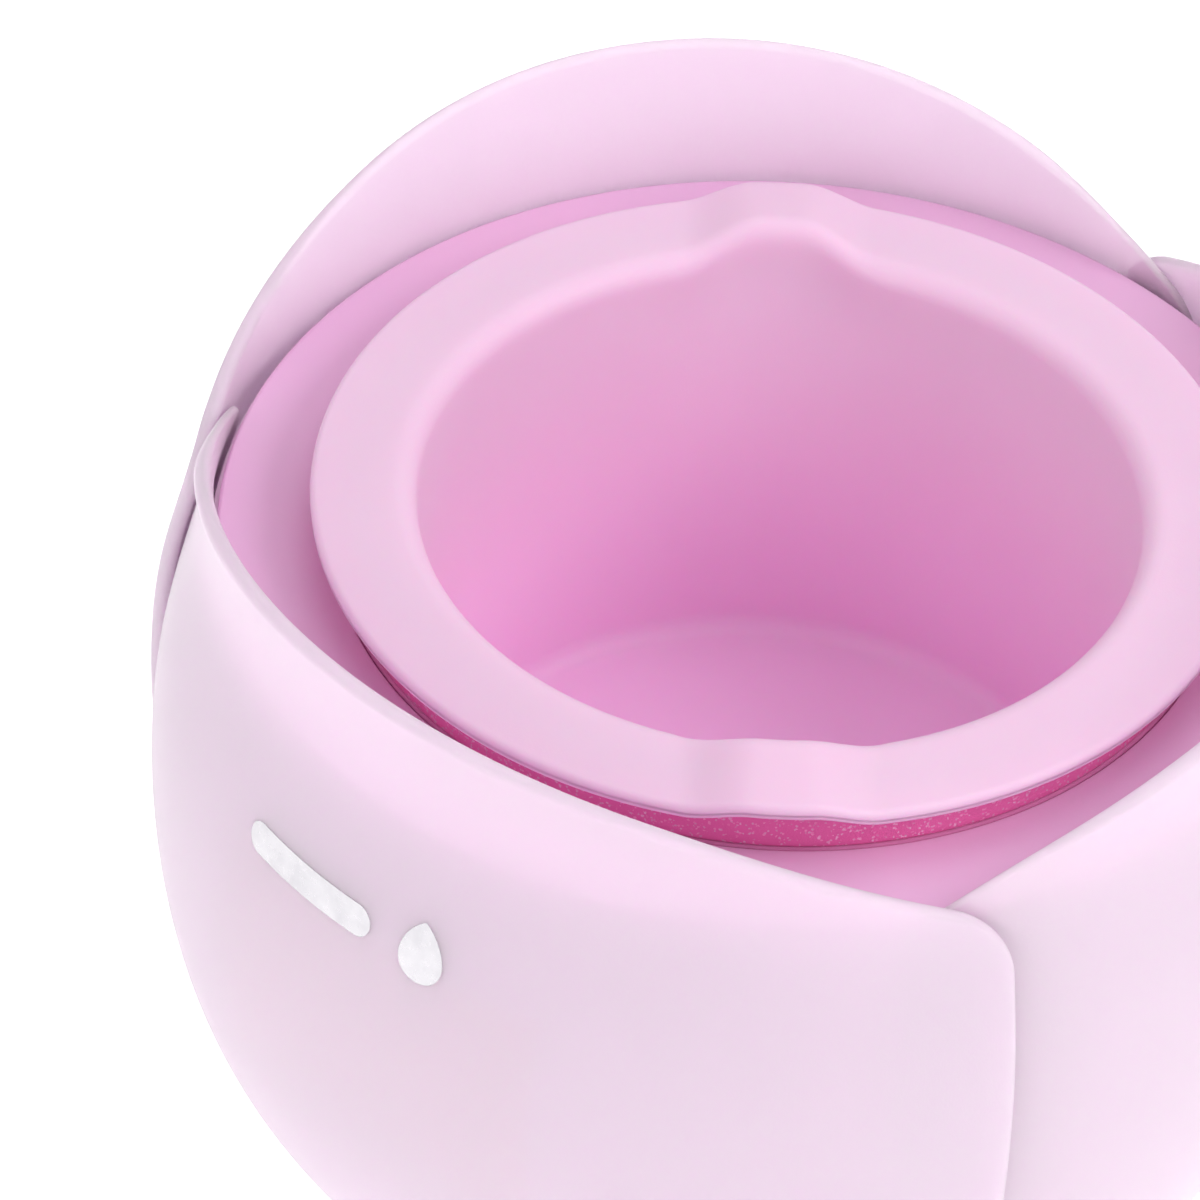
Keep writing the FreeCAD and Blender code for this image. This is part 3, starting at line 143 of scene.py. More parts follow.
def natural_spline(knots, values):
    """A cubic spline through the values, straight at both ends, as a function that gives value and slope."""
    gaps = np.diff(knots)
    slopes = np.diff(values) / gaps
    system = np.eye(len(knots))
    right_side = np.zeros(len(knots))
    for i in range(1, len(knots) - 1):
        system[i, i - 1 : i + 2] = gaps[i - 1], 2 * (gaps[i - 1] + gaps[i]), gaps[i]
        right_side[i] = 6 * (slopes[i] - slopes[i - 1])
    bend = np.linalg.solve(system, right_side)

    def curve(where):
        i = np.clip(np.searchsorted(knots, where) - 1, 0, len(gaps) - 1)
        a = (knots[i + 1] - where) / gaps[i]
        b = 1 - a
        sixth = gaps[i] ** 2 / 6
        value = a * values[i] + b * values[i + 1]
        value = value + sixth * ((a**3 - a) * bend[i] + (b**3 - b) * bend[i + 1])
        slope = slopes[i] + gaps[i] / 6 * ((1 - 3 * a**2) * bend[i] + (3 * b**2 - 1) * bend[i + 1])
        return value, slope

    return curve


bulb = natural_spline(BULB_HEIGHTS, BULB_RADII)


SHARPEST_BEND = math.radians(40)


def mesh_piece(name, points, faces, body, slot):
    """A closed mesh, smooth but for sharp edges, that rides on a body and takes a slot's finish."""
    mesh = bpy.data.meshes.new(name)
    mesh.from_pydata([tuple(p) for p in points], [], faces)
    shell = bmesh.new()
    shell.from_mesh(mesh)
    bmesh.ops.remove_doubles(shell, verts=shell.verts, dist=1e-7)
    bmesh.ops.recalc_face_normals(shell, faces=shell.faces)
    shell.to_mesh(mesh)
    shell.free()
    mesh.shade_smooth()
    mesh.set_sharp_from_angle(angle=SHARPEST_BEND)
    piece = bpy.data.objects.new(name, mesh)
    bpy.context.scene.collection.objects.link(piece)
    piece.data.materials.append(FINISHES[slot])
    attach(piece, body)
    return piece


def grid_faces(rows, columns, wrap_rows=False, wrap_columns=False):
    """Quads of a grid of vertices that are numbered row by row."""
    faces = []
    for i in range(rows if wrap_rows else rows - 1):
        for j in range(columns if wrap_columns else columns - 1):
            below, beside = (i + 1) % rows, (j + 1) % columns
            this_row, next_row = i * columns, below * columns
            faces.append((this_row + j, this_row + beside, next_row + beside, next_row + j))
    return faces


def slab(upper, lower, ring=False):
    """Points and faces of a closed slab between two grids. A ring's last column meets its first."""
    rows, columns = upper.shape[:2]
    count = rows * columns
    points = np.concatenate([upper.reshape(-1, 3), lower.reshape(-1, 3)])
    top = grid_faces(rows, columns, wrap_columns=ring)
    faces = top + [tuple(count + v for v in reversed(face)) for face in top]
    last_row = (rows - 1) * columns
    around = [list(range(columns)), list(range(last_row, count))]
    if ring:
        around = [edge + [edge[0]] for edge in around]
    else:
        around += [list(range(0, count, columns)), list(range(columns - 1, count, columns))]
    for edge in around:
        faces += [(a, b, count + b, count + a) for a, b in zip(edge, edge[1:])]
    return points, faces


def rounded(corners, steps=7):
    """A closed section with its corners rounded, from (radius, height, rounding) corners.

    Points just before and after each rounding keep the flats beside it flat under smooth shading.
    """
    path = []
    count = len(corners)
    for index, (x, z, rounding) in enumerate(corners):
        corner = np.array([x, z], float)
        if rounding == 0:
            path.append(corner)
            continue
        back = np.array(corners[index - 1][:2], float) - corner
        ahead = np.array(corners[(index + 1) % count][:2], float) - corner
        back_length, ahead_length = np.linalg.norm(back), np.linalg.norm(ahead)
        back, ahead = back / back_length, ahead / ahead_length
        half = math.acos(np.clip(back @ ahead, -1, 1)) / 2
        setback = rounding / math.tan(half)
        support = 0.25 * rounding
        centre = corner + (back + ahead) / np.linalg.norm(back + ahead) * rounding / math.sin(half)
        enter, leave = corner + back * setback, corner + ahead * setback
        path.append(enter + back * min(support, 0.4 * (back_length - setback)))
        start = math.atan2(*(enter - centre)[::-1])
        sweep = math.atan2(*(leave - centre)[::-1]) - start
        sweep = (sweep + math.pi) % (2 * math.pi) - math.pi
        for step in range(steps + 1):
            turn = start + sweep * step / steps
            path.append(centre + rounding * np.array([math.cos(turn), math.sin(turn)]))
        path.append(leave + ahead * min(support, 0.4 * (ahead_length - setback)))
    return np.array(path)


def lathe(name, corners, body, slot, node, segments=256):
    """A piece turned round the axis from a rounded section, in place of a CAD node."""
    section = rounded(corners)
    azimuths = np.arange(segments) * 360 / segments
    points = polar(section[:, :1], azimuths[None, :], section[:, 1:])
    faces = grid_faces(len(section), segments, wrap_rows=True, wrap_columns=True)
    piece = mesh_piece(name, points.reshape(-1, 3), faces, body, slot)
    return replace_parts(piece, node)


# ---------------------------------------------------------------------------------------------------
# Material helpers
# ---------------------------------------------------------------------------------------------------
def linear(colour):
    """A colour given as 0-255 display values, as linear values with full alpha."""
    shares = [value / 255 for value in colour]
    return (*[s / 12.92 if s <= 0.04045 else ((s + 0.055) / 1.055) ** 2.4 for s in shares], 1.0)


class Finish:
    """A procedural material: a Principled shader and the nodes that feed it, in object coordinates."""

    def __init__(self, name, colour, roughness, **sockets):
        self.material = bpy.data.materials.new(name)
        self.material.use_nodes = True
        self.tree = self.material.node_tree
        self.shader = self.tree.nodes["Principled BSDF"]
        self.coordinates = self.tree.nodes.new("ShaderNodeTexCoord").outputs["Object"]
        self.normal = None
        self.set("Base Color", linear(colour))
        self.set("Roughness", roughness)
        for socket, value in sockets.items():
            self.set(socket.replace("_", " "), value)

    def set(self, socket, value):
        self.shader.inputs[socket].default_value = value

    def node(self, kind, **values):
        """A node with its sockets set by name, linked where the value is another node's output."""
        made = self.tree.nodes.new("ShaderNode" + kind)
        for socket, value in values.items():
            self.feed(made.inputs[socket.replace("_", " ")], value)
        return made

    def feed(self, socket, value):
        if isinstance(value, bpy.types.NodeSocket):
            self.tree.links.new(value, socket)
        else:
            socket.default_value = value

    def noise(self, scale, detail=3.0, stretch=(1, 1, 1)):
        """Noise whose grains are 1/scale metres across, drawn out along an axis by a smaller stretch."""
        mapping = self.node("Mapping", Vector=self.coordinates, Scale=stretch)
        made = self.node("TexNoise", Vector=mapping.outputs["Vector"], Scale=scale, Detail=detail)
        return made.outputs["Fac"]

    def span(self, factor, low, high):
        """A factor of 0 to 1 mapped to a range."""
        made = self.node("MapRange", Value=factor)
        made.inputs["To Min"].default_value = low
        made.inputs["To Max"].default_value = high
        return made.outputs["Result"]

    def height_share(self, low, high):
        """0 below a height in millimetres, 1 above another, smooth between."""
        height = self.node("SeparateXYZ", Vector=self.coordinates).outputs["Z"]
        made = self.node("MapRange", Value=height)
        made.interpolation_type = "SMOOTHSTEP"
        made.inputs["From Min"].default_value = low * MM
        made.inputs["From Max"].default_value = high * MM
        return made.outputs["Result"]

    def blend(self, factor, first, second, mode="MIX"):
        """A mix of two colours, each an output or a display colour."""
        made = self.tree.nodes.new("ShaderNodeMix")
        made.data_type = "RGBA"
        made.blend_type = mode
        self.feed(made.inputs["Factor"], factor)
        for socket, colour in ((made.inputs[6], first), (made.inputs[7], second)):
            self.feed(socket, linear(colour) if isinstance(colour, tuple) else colour)
        return made.outputs[2]

    def colour(self, output):
        self.feed(self.shader.inputs["Base Color"], output)
        return self

    def rough(self, output):
        self.feed(self.shader.inputs["Roughness"], output)
        return self

    def bump(self, height, depth, strength=1.0):
        """Relief of a depth in millimetres, on top of any bump made before."""
        made = self.node("Bump", Height=height, Strength=strength, Distance=depth * MM)
        if self.normal is not None:
            self.feed(made.inputs["Normal"], self.normal)
        self.normal = made.outputs["Normal"]
        self.feed(self.shader.inputs["Normal"], self.normal)
        return self

    def voronoi(self, scale, feature="F1"):
        made = self.node("TexVoronoi", Vector=self.coordinates, Scale=scale)
        made.feature = feature
        return made

    def limits(self, factor, low, high):
        """A factor stretched so that low becomes 0 and high becomes 1."""
        made = self.node("MapRange", Value=factor)
        made.inputs["From Min"].default_value = low
        made.inputs["From Max"].default_value = high
        return made.outputs["Result"]


# ---------------------------------------------------------------------------------------------------
# Materials
# ---------------------------------------------------------------------------------------------------
def petal_frost():
    """Frosted translucent plastic: milky, faintly lilac, with a fine etched surface."""
    finish = Finish("petal_frost", (252, 231, 248), 0.3, IOR=1.2, Transmission_Weight=0.4,
                    Subsurface_Weight=0.7, Subsurface_Scale=0.003, Specular_IOR_Level=0.35)
    finish.set("Subsurface Radius", (1.0, 0.85, 1.0))
    cloud = finish.noise(18, detail=2.0)
    finish.colour(finish.blend(cloud, (254, 232, 249), (251, 230, 247)))
    finish.rough(finish.span(cloud, 0.25, 0.35))
    return finish.bump(finish.noise(2600, detail=2.0), 0.012)


def liner_silicone():
    """Pink silicone rubber: satin, softly translucent, with painted light making it lighter and pinker down
    in the bowl.
    """
    finish = Finish("liner_silicone", (238, 190, 222), 0.46, IOR=1.41, Subsurface_Weight=0.55,
                    Subsurface_Scale=0.004, Specular_IOR_Level=0.4)
    finish.set("Subsurface Radius", (1.0, 0.45, 0.75))
    # Painted light: the colour is blended by height, lighter and pinker low in the bowl, against the shade
    # that falls deep inside it.
    depth = finish.height_share(BOWL_FLOOR + 8, MOUTH_TOP - 2)
    bowl = finish.blend(depth, (255, 202, 239), (238, 203, 228))
    mottle = finish.blend(finish.noise(30, detail=4.0), (255, 255, 255), (250, 246, 249))
    finish.colour(finish.blend(1.0, bowl, mottle, mode="MULTIPLY"))
    finish.rough(finish.span(finish.noise(900), 0.42, 0.52))
    return finish.bump(finish.noise(3200, detail=2.0), 0.012)


def pot_coating():
    """Deep pink non-stick enamel over aluminium, full of fine bright flakes."""
    finish = Finish("pot_coating", (222, 96, 160), 0.38, Metallic=0.15, Coat_Weight=0.4, Coat_Roughness=0.2)
    flakes = finish.voronoi(3200)
    spark = finish.limits(finish.node("SeparateColor", Color=flakes.outputs["Color"]).outputs[0], 0.86, 0.97)
    enamel = finish.blend(finish.noise(140, detail=4.0), (234, 104, 172), (242, 122, 184))
    finish.colour(finish.blend(spark, enamel, (255, 196, 226)))
    finish.rough(finish.span(spark, 0.42, 0.16))
    return finish.bump(flakes.outputs["Distance"], 0.03)


def deck_satin():
    """The deck's moulded plastic: satin mauve pink."""
    finish = Finish("deck_satin", (222, 154, 212), 0.4, Subsurface_Weight=0.25, Subsurface_Scale=0.002)
    finish.set("Subsurface Radius", (1.0, 0.5, 0.8))
    finish.colour(finish.blend(finish.noise(25), (242, 188, 226), (234, 187, 227)))
    finish.rough(finish.span(finish.noise(700), 0.34, 0.46))
    return finish.bump(finish.noise(2400), 0.015)


def casing_plastic():
    """The casing's moulded plastic, with the fine spark-eroded texture of the mould."""
    finish = Finish("casing_plastic", (248, 224, 241), 0.5, Subsurface_Weight=0.2, Subsurface_Scale=0.002)
    finish.set("Subsurface Radius", (1.0, 0.6, 0.85))
    finish.colour(finish.blend(finish.noise(40), (250, 226, 243), (245, 221, 239)))
    finish.rough(finish.span(finish.noise(500), 0.44, 0.58))
    return finish.bump(finish.noise(1800, detail=5.0), 0.05)


def plain_aluminium():
    """Turned aluminium, with fine rings from the tool."""
    finish = Finish("plain_aluminium", (200, 201, 205), 0.34, Metallic=1.0, Anisotropic=0.4)
    rings = finish.node("TexWave", Vector=finish.coordinates, Scale=1400.0, Distortion=0.4)
    rings.wave_type = "RINGS"
    rings.rings_direction = "Z"
    finish.colour(finish.blend(finish.noise(60), (206, 207, 210), (186, 188, 193)))
    finish.rough(finish.span(finish.noise(300), 0.28, 0.42))
    return finish.bump(rings.outputs["Fac"], 0.01)


def brushed_steel(name, colour):
    """Steel with a drawn grain."""
    finish = Finish(name, colour, 0.32, Metallic=1.0)
    grain = finish.noise(900, stretch=(1, 0.05, 1))
    darker = tuple(int(0.86 * value) for value in colour)
    finish.colour(finish.blend(finish.noise(120), colour, darker))
    finish.rough(finish.span(grain, 0.24, 0.44))
    return finish.bump(grain, 0.01)


def glass_fibre():
    """White glass-fibre felt, needled and slightly yellow."""
    finish = Finish("glass_fibre", (232, 228, 214), 0.9, Sheen_Weight=0.4)
    fibres = finish.noise(1500, detail=6.0, stretch=(0.2, 0.2, 1))
    finish.colour(finish.blend(fibres, (240, 237, 226), (214, 208, 190)))
    return finish.bump(fibres, 0.4)


def soft_rubber(name, colour):
    """Moulded rubber with a matt, slightly dusty skin."""
    finish = Finish(name, colour, 0.75)
    lighter = tuple(min(255, value + 14) for value in colour)
    finish.colour(finish.blend(finish.noise(220, detail=5.0), colour, lighter))
    finish.rough(finish.span(finish.noise(160), 0.66, 0.84))
    return finish.bump(finish.noise(2000, detail=4.0), 0.03)


def circuit_board():
    """Green solder mask with copper tracks under it."""
    finish = Finish("circuit_board", (26, 92, 52), 0.3, Coat_Weight=0.3, Coat_Roughness=0.15)
    tracks = finish.voronoi(220, "DISTANCE_TO_EDGE")
    copper = finish.limits(tracks.outputs["Distance"], 0.09, 0.06)
    finish.colour(finish.blend(copper, (22, 84, 46), (64, 132, 66)))
    return finish.bump(copper, 0.03)


def plain_moulding(name, colour, roughness):
    """A small moulded part: one colour with slight flow marks and a fine grain."""
    finish = Finish(name, colour, roughness)
    shade = tuple(max(0, value - 10) for value in colour)
    finish.colour(finish.blend(finish.noise(90, detail=4.0), colour, shade))
    finish.rough(finish.span(finish.noise(350), roughness - 0.06, roughness + 0.06))
    return finish.bump(finish.noise(1600), 0.02)


def wire_skin():
    """The leads' silicone-rubber skin, with the faint weave of its glass braid."""
    finish = Finish("wire_skin", (226, 224, 220), 0.6)
    weave = finish.voronoi(1300)
    finish.colour(finish.blend(weave.outputs["Distance"], (232, 230, 226), (204, 200, 196)))
    return finish.bump(weave.outputs["Distance"], 0.05)


def window_plastic():
    """The display's window: rose tinted acrylic, gently glossy."""
    finish = Finish("window_plastic", (228, 112, 146), 0.2, Coat_Weight=0.5, Coat_Roughness=0.08)
    finish.colour(finish.blend(finish.noise(35), (232, 118, 150), (222, 104, 138)))
    return finish.rough(finish.span(finish.noise(200), 0.16, 0.26))


def silver_print():
    """The silver foil of the printed mark."""
    finish = Finish("silver_print", (206, 208, 214), 0.3, Metallic=0.85)
    finish.colour(finish.blend(finish.noise(300), (224, 222, 225), (192, 190, 195)))
    finish.rough(finish.span(finish.noise(1200), 0.22, 0.36))
    return finish.bump(finish.noise(2500), 0.01)


def display_ink():
    """The dark rose ink of the display's digits and key symbols."""
    finish = Finish("display_ink", (92, 26, 52), 0.5)
    finish.colour(finish.blend(finish.noise(300), (98, 30, 56), (84, 22, 46)))
    return finish.bump(finish.noise(2500), 0.01)


FINISHES = {
    "petal_frost": petal_frost(),
    "liner_silicone": liner_silicone(),
    "pot_coating": pot_coating(),
    "deck_satin": deck_satin(),
    "casing_plastic": casing_plastic(),
    "plain_aluminium": plain_aluminium(),
    "element_steel": brushed_steel("element_steel", (158, 150, 144)),
    "sensor_steel": brushed_steel("sensor_steel", (196, 198, 202)),
    "bracket_steel": brushed_steel("bracket_steel", (186, 189, 194)),
    "screw_steel": brushed_steel("screw_steel", (204, 205, 208)),
    "glass_fibre": glass_fibre(),
    "seal_rubber": soft_rubber("seal_rubber", (206, 120, 170)),
    "foot_rubber": soft_rubber("foot_rubber", (196, 190, 196)),
    "circuit_board": circuit_board(),
    "component_black": plain_moulding("component_black", (34, 34, 38), 0.45),
    "terminal_green": plain_moulding("terminal_green", (52, 128, 84), 0.5),
    "inlet_black": plain_moulding("inlet_black", (38, 37, 40), 0.5),
    "pin_brass": brushed_steel("pin_brass", (214, 186, 118)),
    "wire_skin": wire_skin(),
    "ribbon_grey": plain_moulding("ribbon_grey", (150, 152, 158), 0.55),
    "window_plastic": window_plastic(),
    "digit_black": plain_moulding("digit_black", (30, 28, 32), 0.3),
    "pad_foam": plain_moulding("pad_foam", (70, 68, 72), 0.9),
    "silver_print": silver_print(),
    "display_ink": display_ink(),
}
FINISHES = {name: finish.material for name, finish in FINISHES.items()}


# ---------------------------------------------------------------------------------------------------
# Petals
# ---------------------------------------------------------------------------------------------------
def corner_drop(distance, radius):
    """How far a rounded corner falls below its sides, at a distance in from where it starts."""
    inside = np.clip(distance, 0.0, radius)
    return radius - np.sqrt(radius * radius - inside * inside)


ARC_PER_DEGREE = math.radians(1) * RIM_RADIUS


def petal_rim_height(azimuth):
    """The rim's height, high in the middle and dipping to the seams, with a rounded corner at each end."""
    leaning = azimuth + PETAL_LEAN * (1 - (azimuth / 60) ** 2)
    height = PETAL_RIM_CENTRE - PETAL_DIP * (np.abs(leaning) / 60) ** 2.1
    from_right = (PETAL_RIGHT_END - azimuth) * ARC_PER_DEGREE
    from_left = (azimuth - PETAL_LEFT_END) * ARC_PER_DEGREE
    height = height - corner_drop(RIGHT_CORNER - from_right, RIGHT_CORNER)
    return height - corner_drop(LEFT_CORNER - from_left, LEFT_CORNER)


def petal_columns():
    """Azimuths of a petal's columns: even along its middle, crowded round its two corners."""
    turns = np.sin(np.radians(np.arange(90, -1, -6)))
    left = PETAL_LEFT_END + LEFT_CORNER * (1 - turns) / ARC_PER_DEGREE
    right = PETAL_RIGHT_END - RIGHT_CORNER * (1 - turns) / ARC_PER_DEGREE
    middle = np.linspace(left[-1], right[-1], 90)
    return np.concatenate([left, middle[1:-1], right[::-1]])


def petal_rows(rim):
    """Heights of a column's points: crowded within half a wall of the foot and the rim."""
    edge = PETAL_WALL / 2
    crowd = edge * (1 - np.sin(np.radians(np.arange(90, -1, -10))))
    middle = np.linspace(PETAL_FOOT + edge, rim - edge, 56)
    return np.concatenate([PETAL_FOOT + crowd, middle[1:-1], rim - crowd[::-1]])


def distance_to_line(points, line):
    """Each point's distance to a line of straight runs, in two dimensions."""
    start, run = line[:-1], np.diff(line, axis=0)
    length = np.maximum((run**2).sum(1), 1e-12)
    offset = points[:, None, :] - start[None]
    share = np.clip((offset * run[None]).sum(2) / length, 0, 1)
    return np.linalg.norm(offset - share[..., None] * run[None], axis=2).min(1)


def petal_surface(azimuth, height):
    """The petal's outer radius and the slope of its section."""
    radius, slope = bulb(height)
    return radius - PETAL_INSET + PETAL_JOGGLE * smooth_step(azimuth, 30, 56), slope


def petal_wall_grids():
    """The outer and inner face of a petal whose middle is at azimuth 0, meeting round a full edge."""
    azimuths = petal_columns()
    rims = petal_rim_height(azimuths)
    heights = np.stack([petal_rows(rim) for rim in rims], axis=1)
    azimuth = np.broadcast_to(azimuths, heights.shape)
    radius, slope = petal_surface(azimuth, heights)

    flat = np.stack([np.radians(azimuth) * RIM_RADIUS, heights], axis=-1)
    outline = np.concatenate([flat[:1, 0], flat[-1], flat[:1, -1]])
    sunk = distance_to_line(flat.reshape(-1, 2), outline).reshape(heights.shape)
    sunk = np.minimum(sunk, heights - PETAL_FOOT)

    half = PETAL_WALL / 2 - (PETAL_WALL - PETAL_THIN_WALL) / 2 * (1 - smooth_step(azimuth, -56, -42))
    lift = half * np.sqrt(1 - (1 - np.minimum(sunk / half, 1)) ** 2)
    steep = np.sqrt(1 + slope**2)
    middle = radius - PETAL_WALL + half
    outer = polar(middle + lift / steep, azimuth, heights - lift * slope / steep)
    inner = polar(middle - lift / steep, azimuth, heights + lift * slope / steep)
    return outer, inner


def petal_lip():
    """The inward lip at a petal's foot, with its two screw holes, as points and faces in metres."""
    turns = np.linspace(-LIP_HALF_ANGLE, LIP_HALF_ANGLE, 60)
    outline = np.concatenate([polar(LIP_OUTER, turns, 0.0), polar(LIP_INNER, turns[::-1], 0.0)])
    loops = [outline]
    for azimuth in LIP_HOLE_AZIMUTHS:
        centre = polar(LIP_HOLE_CIRCLE, azimuth, 0.0)
        loops.append(centre + polar(LIP_HOLE_RADIUS, np.arange(0, 360, 15), 0.0))
    return plate(loops, (PETAL_FOOT + PETAL_INSET) * MM, (PETAL_FOOT + LIP_THICK) * MM)


def plate(loops, foot, top):
    """A flat plate with holes, from its outline and the holes' outlines, as points and faces."""
    curve = bpy.data.curves.new("plate", "CURVE")
    curve.dimensions = "2D"
    curve.fill_mode = "BOTH"
    curve.extrude = (top - foot) / 2
    for loop in loops:
        spline = curve.splines.new("POLY")
        spline.points.add(len(loop) - 1)
        spline.use_cyclic_u = True
        for point, place in zip(spline.points, loop):
            point.co = (place[0], place[1], 0, 1)
    holder = bpy.data.objects.new("plate", curve)
    mesh = bpy.data.meshes.new_from_object(holder)
    points = np.array([v.co for v in mesh.vertices]) + np.array([0, 0, (foot + top) / 2])
    faces = [tuple(face.vertices) for face in mesh.polygons]
    bpy.data.objects.remove(holder)
    bpy.data.curves.remove(curve)
    bpy.data.meshes.remove(mesh)
    return points, faces


def turned(points, azimuth):
    """Points turned about the axis."""
    angle = math.radians(azimuth)
    cos, sin = math.cos(angle), math.sin(angle)
    spin = np.array([[cos, -sin, 0], [sin, cos, 0], [0, 0, 1]])
    return points @ spin.T


def make_petals():
    wall_points, wall_faces = slab(*petal_wall_grids())
    lip_points, lip_faces = petal_lip()
    points = np.concatenate([wall_points, lip_points])
    faces = wall_faces + [tuple(v + len(wall_points) for v in face) for face in lip_faces]
    for node, azimuth in PETAL_AZIMUTHS.items():
        piece = mesh_piece(node + "_shell", turned(points, azimuth), faces, "warmer", "petal_frost")
        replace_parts(piece, node)


# ---------------------------------------------------------------------------------------------------
# Liner
# ---------------------------------------------------------------------------------------------------
SPOUT_AZIMUTHS = (42.8, 222.8)
SPOUT_RISE_INNER = 3.9
SPOUT_RISE_OUTER = 2.2
SPOUT_PUSH_INNER = 2.3
SPOUT_PUSH_OUTER = 0.8
# Distances to either side of a lip's middle at which its shapes begin to fade and have faded out.
CREST_FADE_INNER = 2.5
CREST_FADE_OUTER = 4.0
CREST_END = 14.0
MOUTH_FADE = 2.5
MOUTH_END = 15.5
SCOOP_FADE = 3.0
SCOOP_END = 22.0
SCOOP_LENGTH = 40.0
SCOOP_POWER = 1.6


def liner_section():
    """The liner's section, down the bowl's inside first and back under the flange."""
    return rounded([
        (0, BOWL_FLOOR, 0),
        (BOWL_FLOOR_RADIUS, BOWL_FLOOR, 3.0),
        (MOUTH_RADIUS, MOUTH_TOP, 3.4),
        (FLANGE_RADIUS, POT_TOP + FLANGE_THICK, 1.1),
        (FLANGE_RADIUS, POT_TOP, 1.1),
        (LINER_WALL_TOP, POT_TOP, 0.4),
        (LINER_WALL_FOOT, LINER_FOOT, 2.0),
        (0, LINER_FOOT, 0),
    ])


def refine(section, longest):
    """Splits the section's long runs so that no point is further than longest from the next."""
    fine = []
    for start, end in zip(section, section[1:]):
        pieces = max(1, math.ceil(np.linalg.norm(end - start) / longest))
        fine += [start + (end - start) * step / pieces for step in range(pieces)]
    fine.append(section[-1])
    return np.array(fine)


def between(share, first, second):
    return first + (second - first) * share


def spout_shift(radius, height, azimuth, on_flange, in_bowl):
    """How far each liner point rises and moves outwards where a pour lip is pressed into the rim.

    on_flange is 1 on the flange and fades to 0 off it; in_bowl is 1 down the bowl's inside.
    """
    outwards = np.clip((radius - MOUTH_RADIUS) / (FLANGE_RADIUS - MOUTH_RADIUS), 0, 1)
    depth = np.clip(MOUTH_TOP - height, 0, SCOOP_LENGTH)
    rise, push = 0.0, 0.0
    for spout in SPOUT_AZIMUTHS:
        away = (azimuth - spout + 180) % 360 - 180
        aside = np.where(np.abs(away) < 90, np.abs(radius * np.sin(np.radians(away))), SCOOP_LENGTH)
        crest_fade = between(outwards, CREST_FADE_INNER, CREST_FADE_OUTER)
        crest = 1 - smooth_step(aside, crest_fade, CREST_END)
        mouth = 1 - smooth_step(aside, MOUTH_FADE, MOUTH_END)
        fading = (1 - depth / SCOOP_LENGTH) ** SCOOP_POWER
        scoop = (1 - smooth_step(aside, SCOOP_FADE, SCOOP_END)) * fading
        rise = rise + on_flange * crest * between(outwards, SPOUT_RISE_INNER, SPOUT_RISE_OUTER)
        push = push + on_flange * mouth * between(outwards, SPOUT_PUSH_INNER, SPOUT_PUSH_OUTER)
        push = push + in_bowl * (1 - on_flange) * scoop * SPOUT_PUSH_INNER
    return rise, push


def make_liner():
    section = refine(liner_section(), 1.5)
    columns = 540
    azimuth = (np.arange(columns) * 360 / columns)[None, :]
    radius, height = section[:, :1], section[:, 1:]
    order = np.arange(len(section))[:, None]
    crest = int(np.argmax(section[:, 1]))
    lean = 0.01  # picks the lowest of the points that reach furthest out
    edge = int(np.argmax(section[:, 0] - lean * section[:, 1]))
    in_bowl = order <= crest
    under = order > edge
    fade_down = 1 - smooth_step(MOUTH_TOP - height, 0.0, 13.0)
    fade_under = smooth_step(radius, LINER_WALL_TOP + 0.5, LINER_WALL_TOP + 4)
    on_flange = np.where(in_bowl, fade_down, np.where(under, fade_under, 1.0))
    rise, push = spout_shift(radius, height, azimuth, on_flange, in_bowl)
    points = polar(radius + push, azimuth, height + rise)
    faces = grid_faces(len(section), columns, wrap_columns=True)
    piece = mesh_piece("liner_cup", points.reshape(-1, 3), faces, "liner", "liner_silicone")
    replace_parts(piece, "silicone_liner")


# ---------------------------------------------------------------------------------------------------
# Pot, deck and seal
# ---------------------------------------------------------------------------------------------------
def make_pot():
    bore_top, bore_foot = LINER_WALL_TOP + 0.4, LINER_WALL_FOOT + 0.4
    floor = POT_FOOT + POT_WALL
    neck = bore_top + POT_WALL - (bore_top - bore_foot) * (POT_TOP - SEAL_TOP) / (POT_TOP - floor)
    lathe("pot_bowl", [
        (0, POT_FOOT, 0),
        (bore_foot + POT_WALL, POT_FOOT, 3.0),
        (neck, SEAL_TOP, 0.3),
        (POT_RADIUS, SEAL_TOP, 0.5),
        (POT_RADIUS, POT_TOP, 1.2),
        (bore_top, POT_TOP, 0.4),
        (bore_foot, floor, 1.0),
        (0, floor, 0),
    ], "warmer", "pot_coating", "heating_pot")


def make_deck():
    """The dished ring round the pot, with the skirt that plugs into the housing."""
    thick = 2.2
    ledge = reach("pot_seal") + 0.2
    ledge_inner = POT_RADIUS - 2.4
    skirt_outer = float(bulb(DECK_TOP - thick)[0]) - PETAL_WALL - HOUSING_GAP - HOUSING_WALL - 0.3
    skirt_inner = skirt_outer - 2.0
    deck = lathe("deck_ring", [
        (ledge_inner, SEAL_FOOT - thick, 0.3),
        (skirt_inner, SEAL_FOOT - thick, 0.3),
        (skirt_inner, DECK_FOOT, 0.3),
        (skirt_outer, DECK_FOOT, 0.3),
        (skirt_outer, DECK_TOP - thick, 0.3),
        (DECK_RADIUS, DECK_TOP - thick, 0.3),
        (DECK_RADIUS, DECK_TOP, 0.6),
        (ledge, SEAL_TOP, 0.3),
        (ledge, SEAL_FOOT, 0.1),
        (ledge_inner, SEAL_FOOT, 0.2),
    ], "warmer", "casing_plastic", "top_deck", segments=360)
    deck.data.materials[0] = FINISHES["deck_satin"]


def make_seal():
    inner = POT_RADIUS - 2.2
    outer = reach("pot_seal")
    lathe("seal_ring", [
        (inner, SEAL_FOOT, 0.5),
        (outer, SEAL_FOOT, 0.5),
        (outer, SEAL_TOP, 0.5),
        (inner, SEAL_TOP, 0.5),
    ], "warmer", "seal_rubber", "pot_seal")


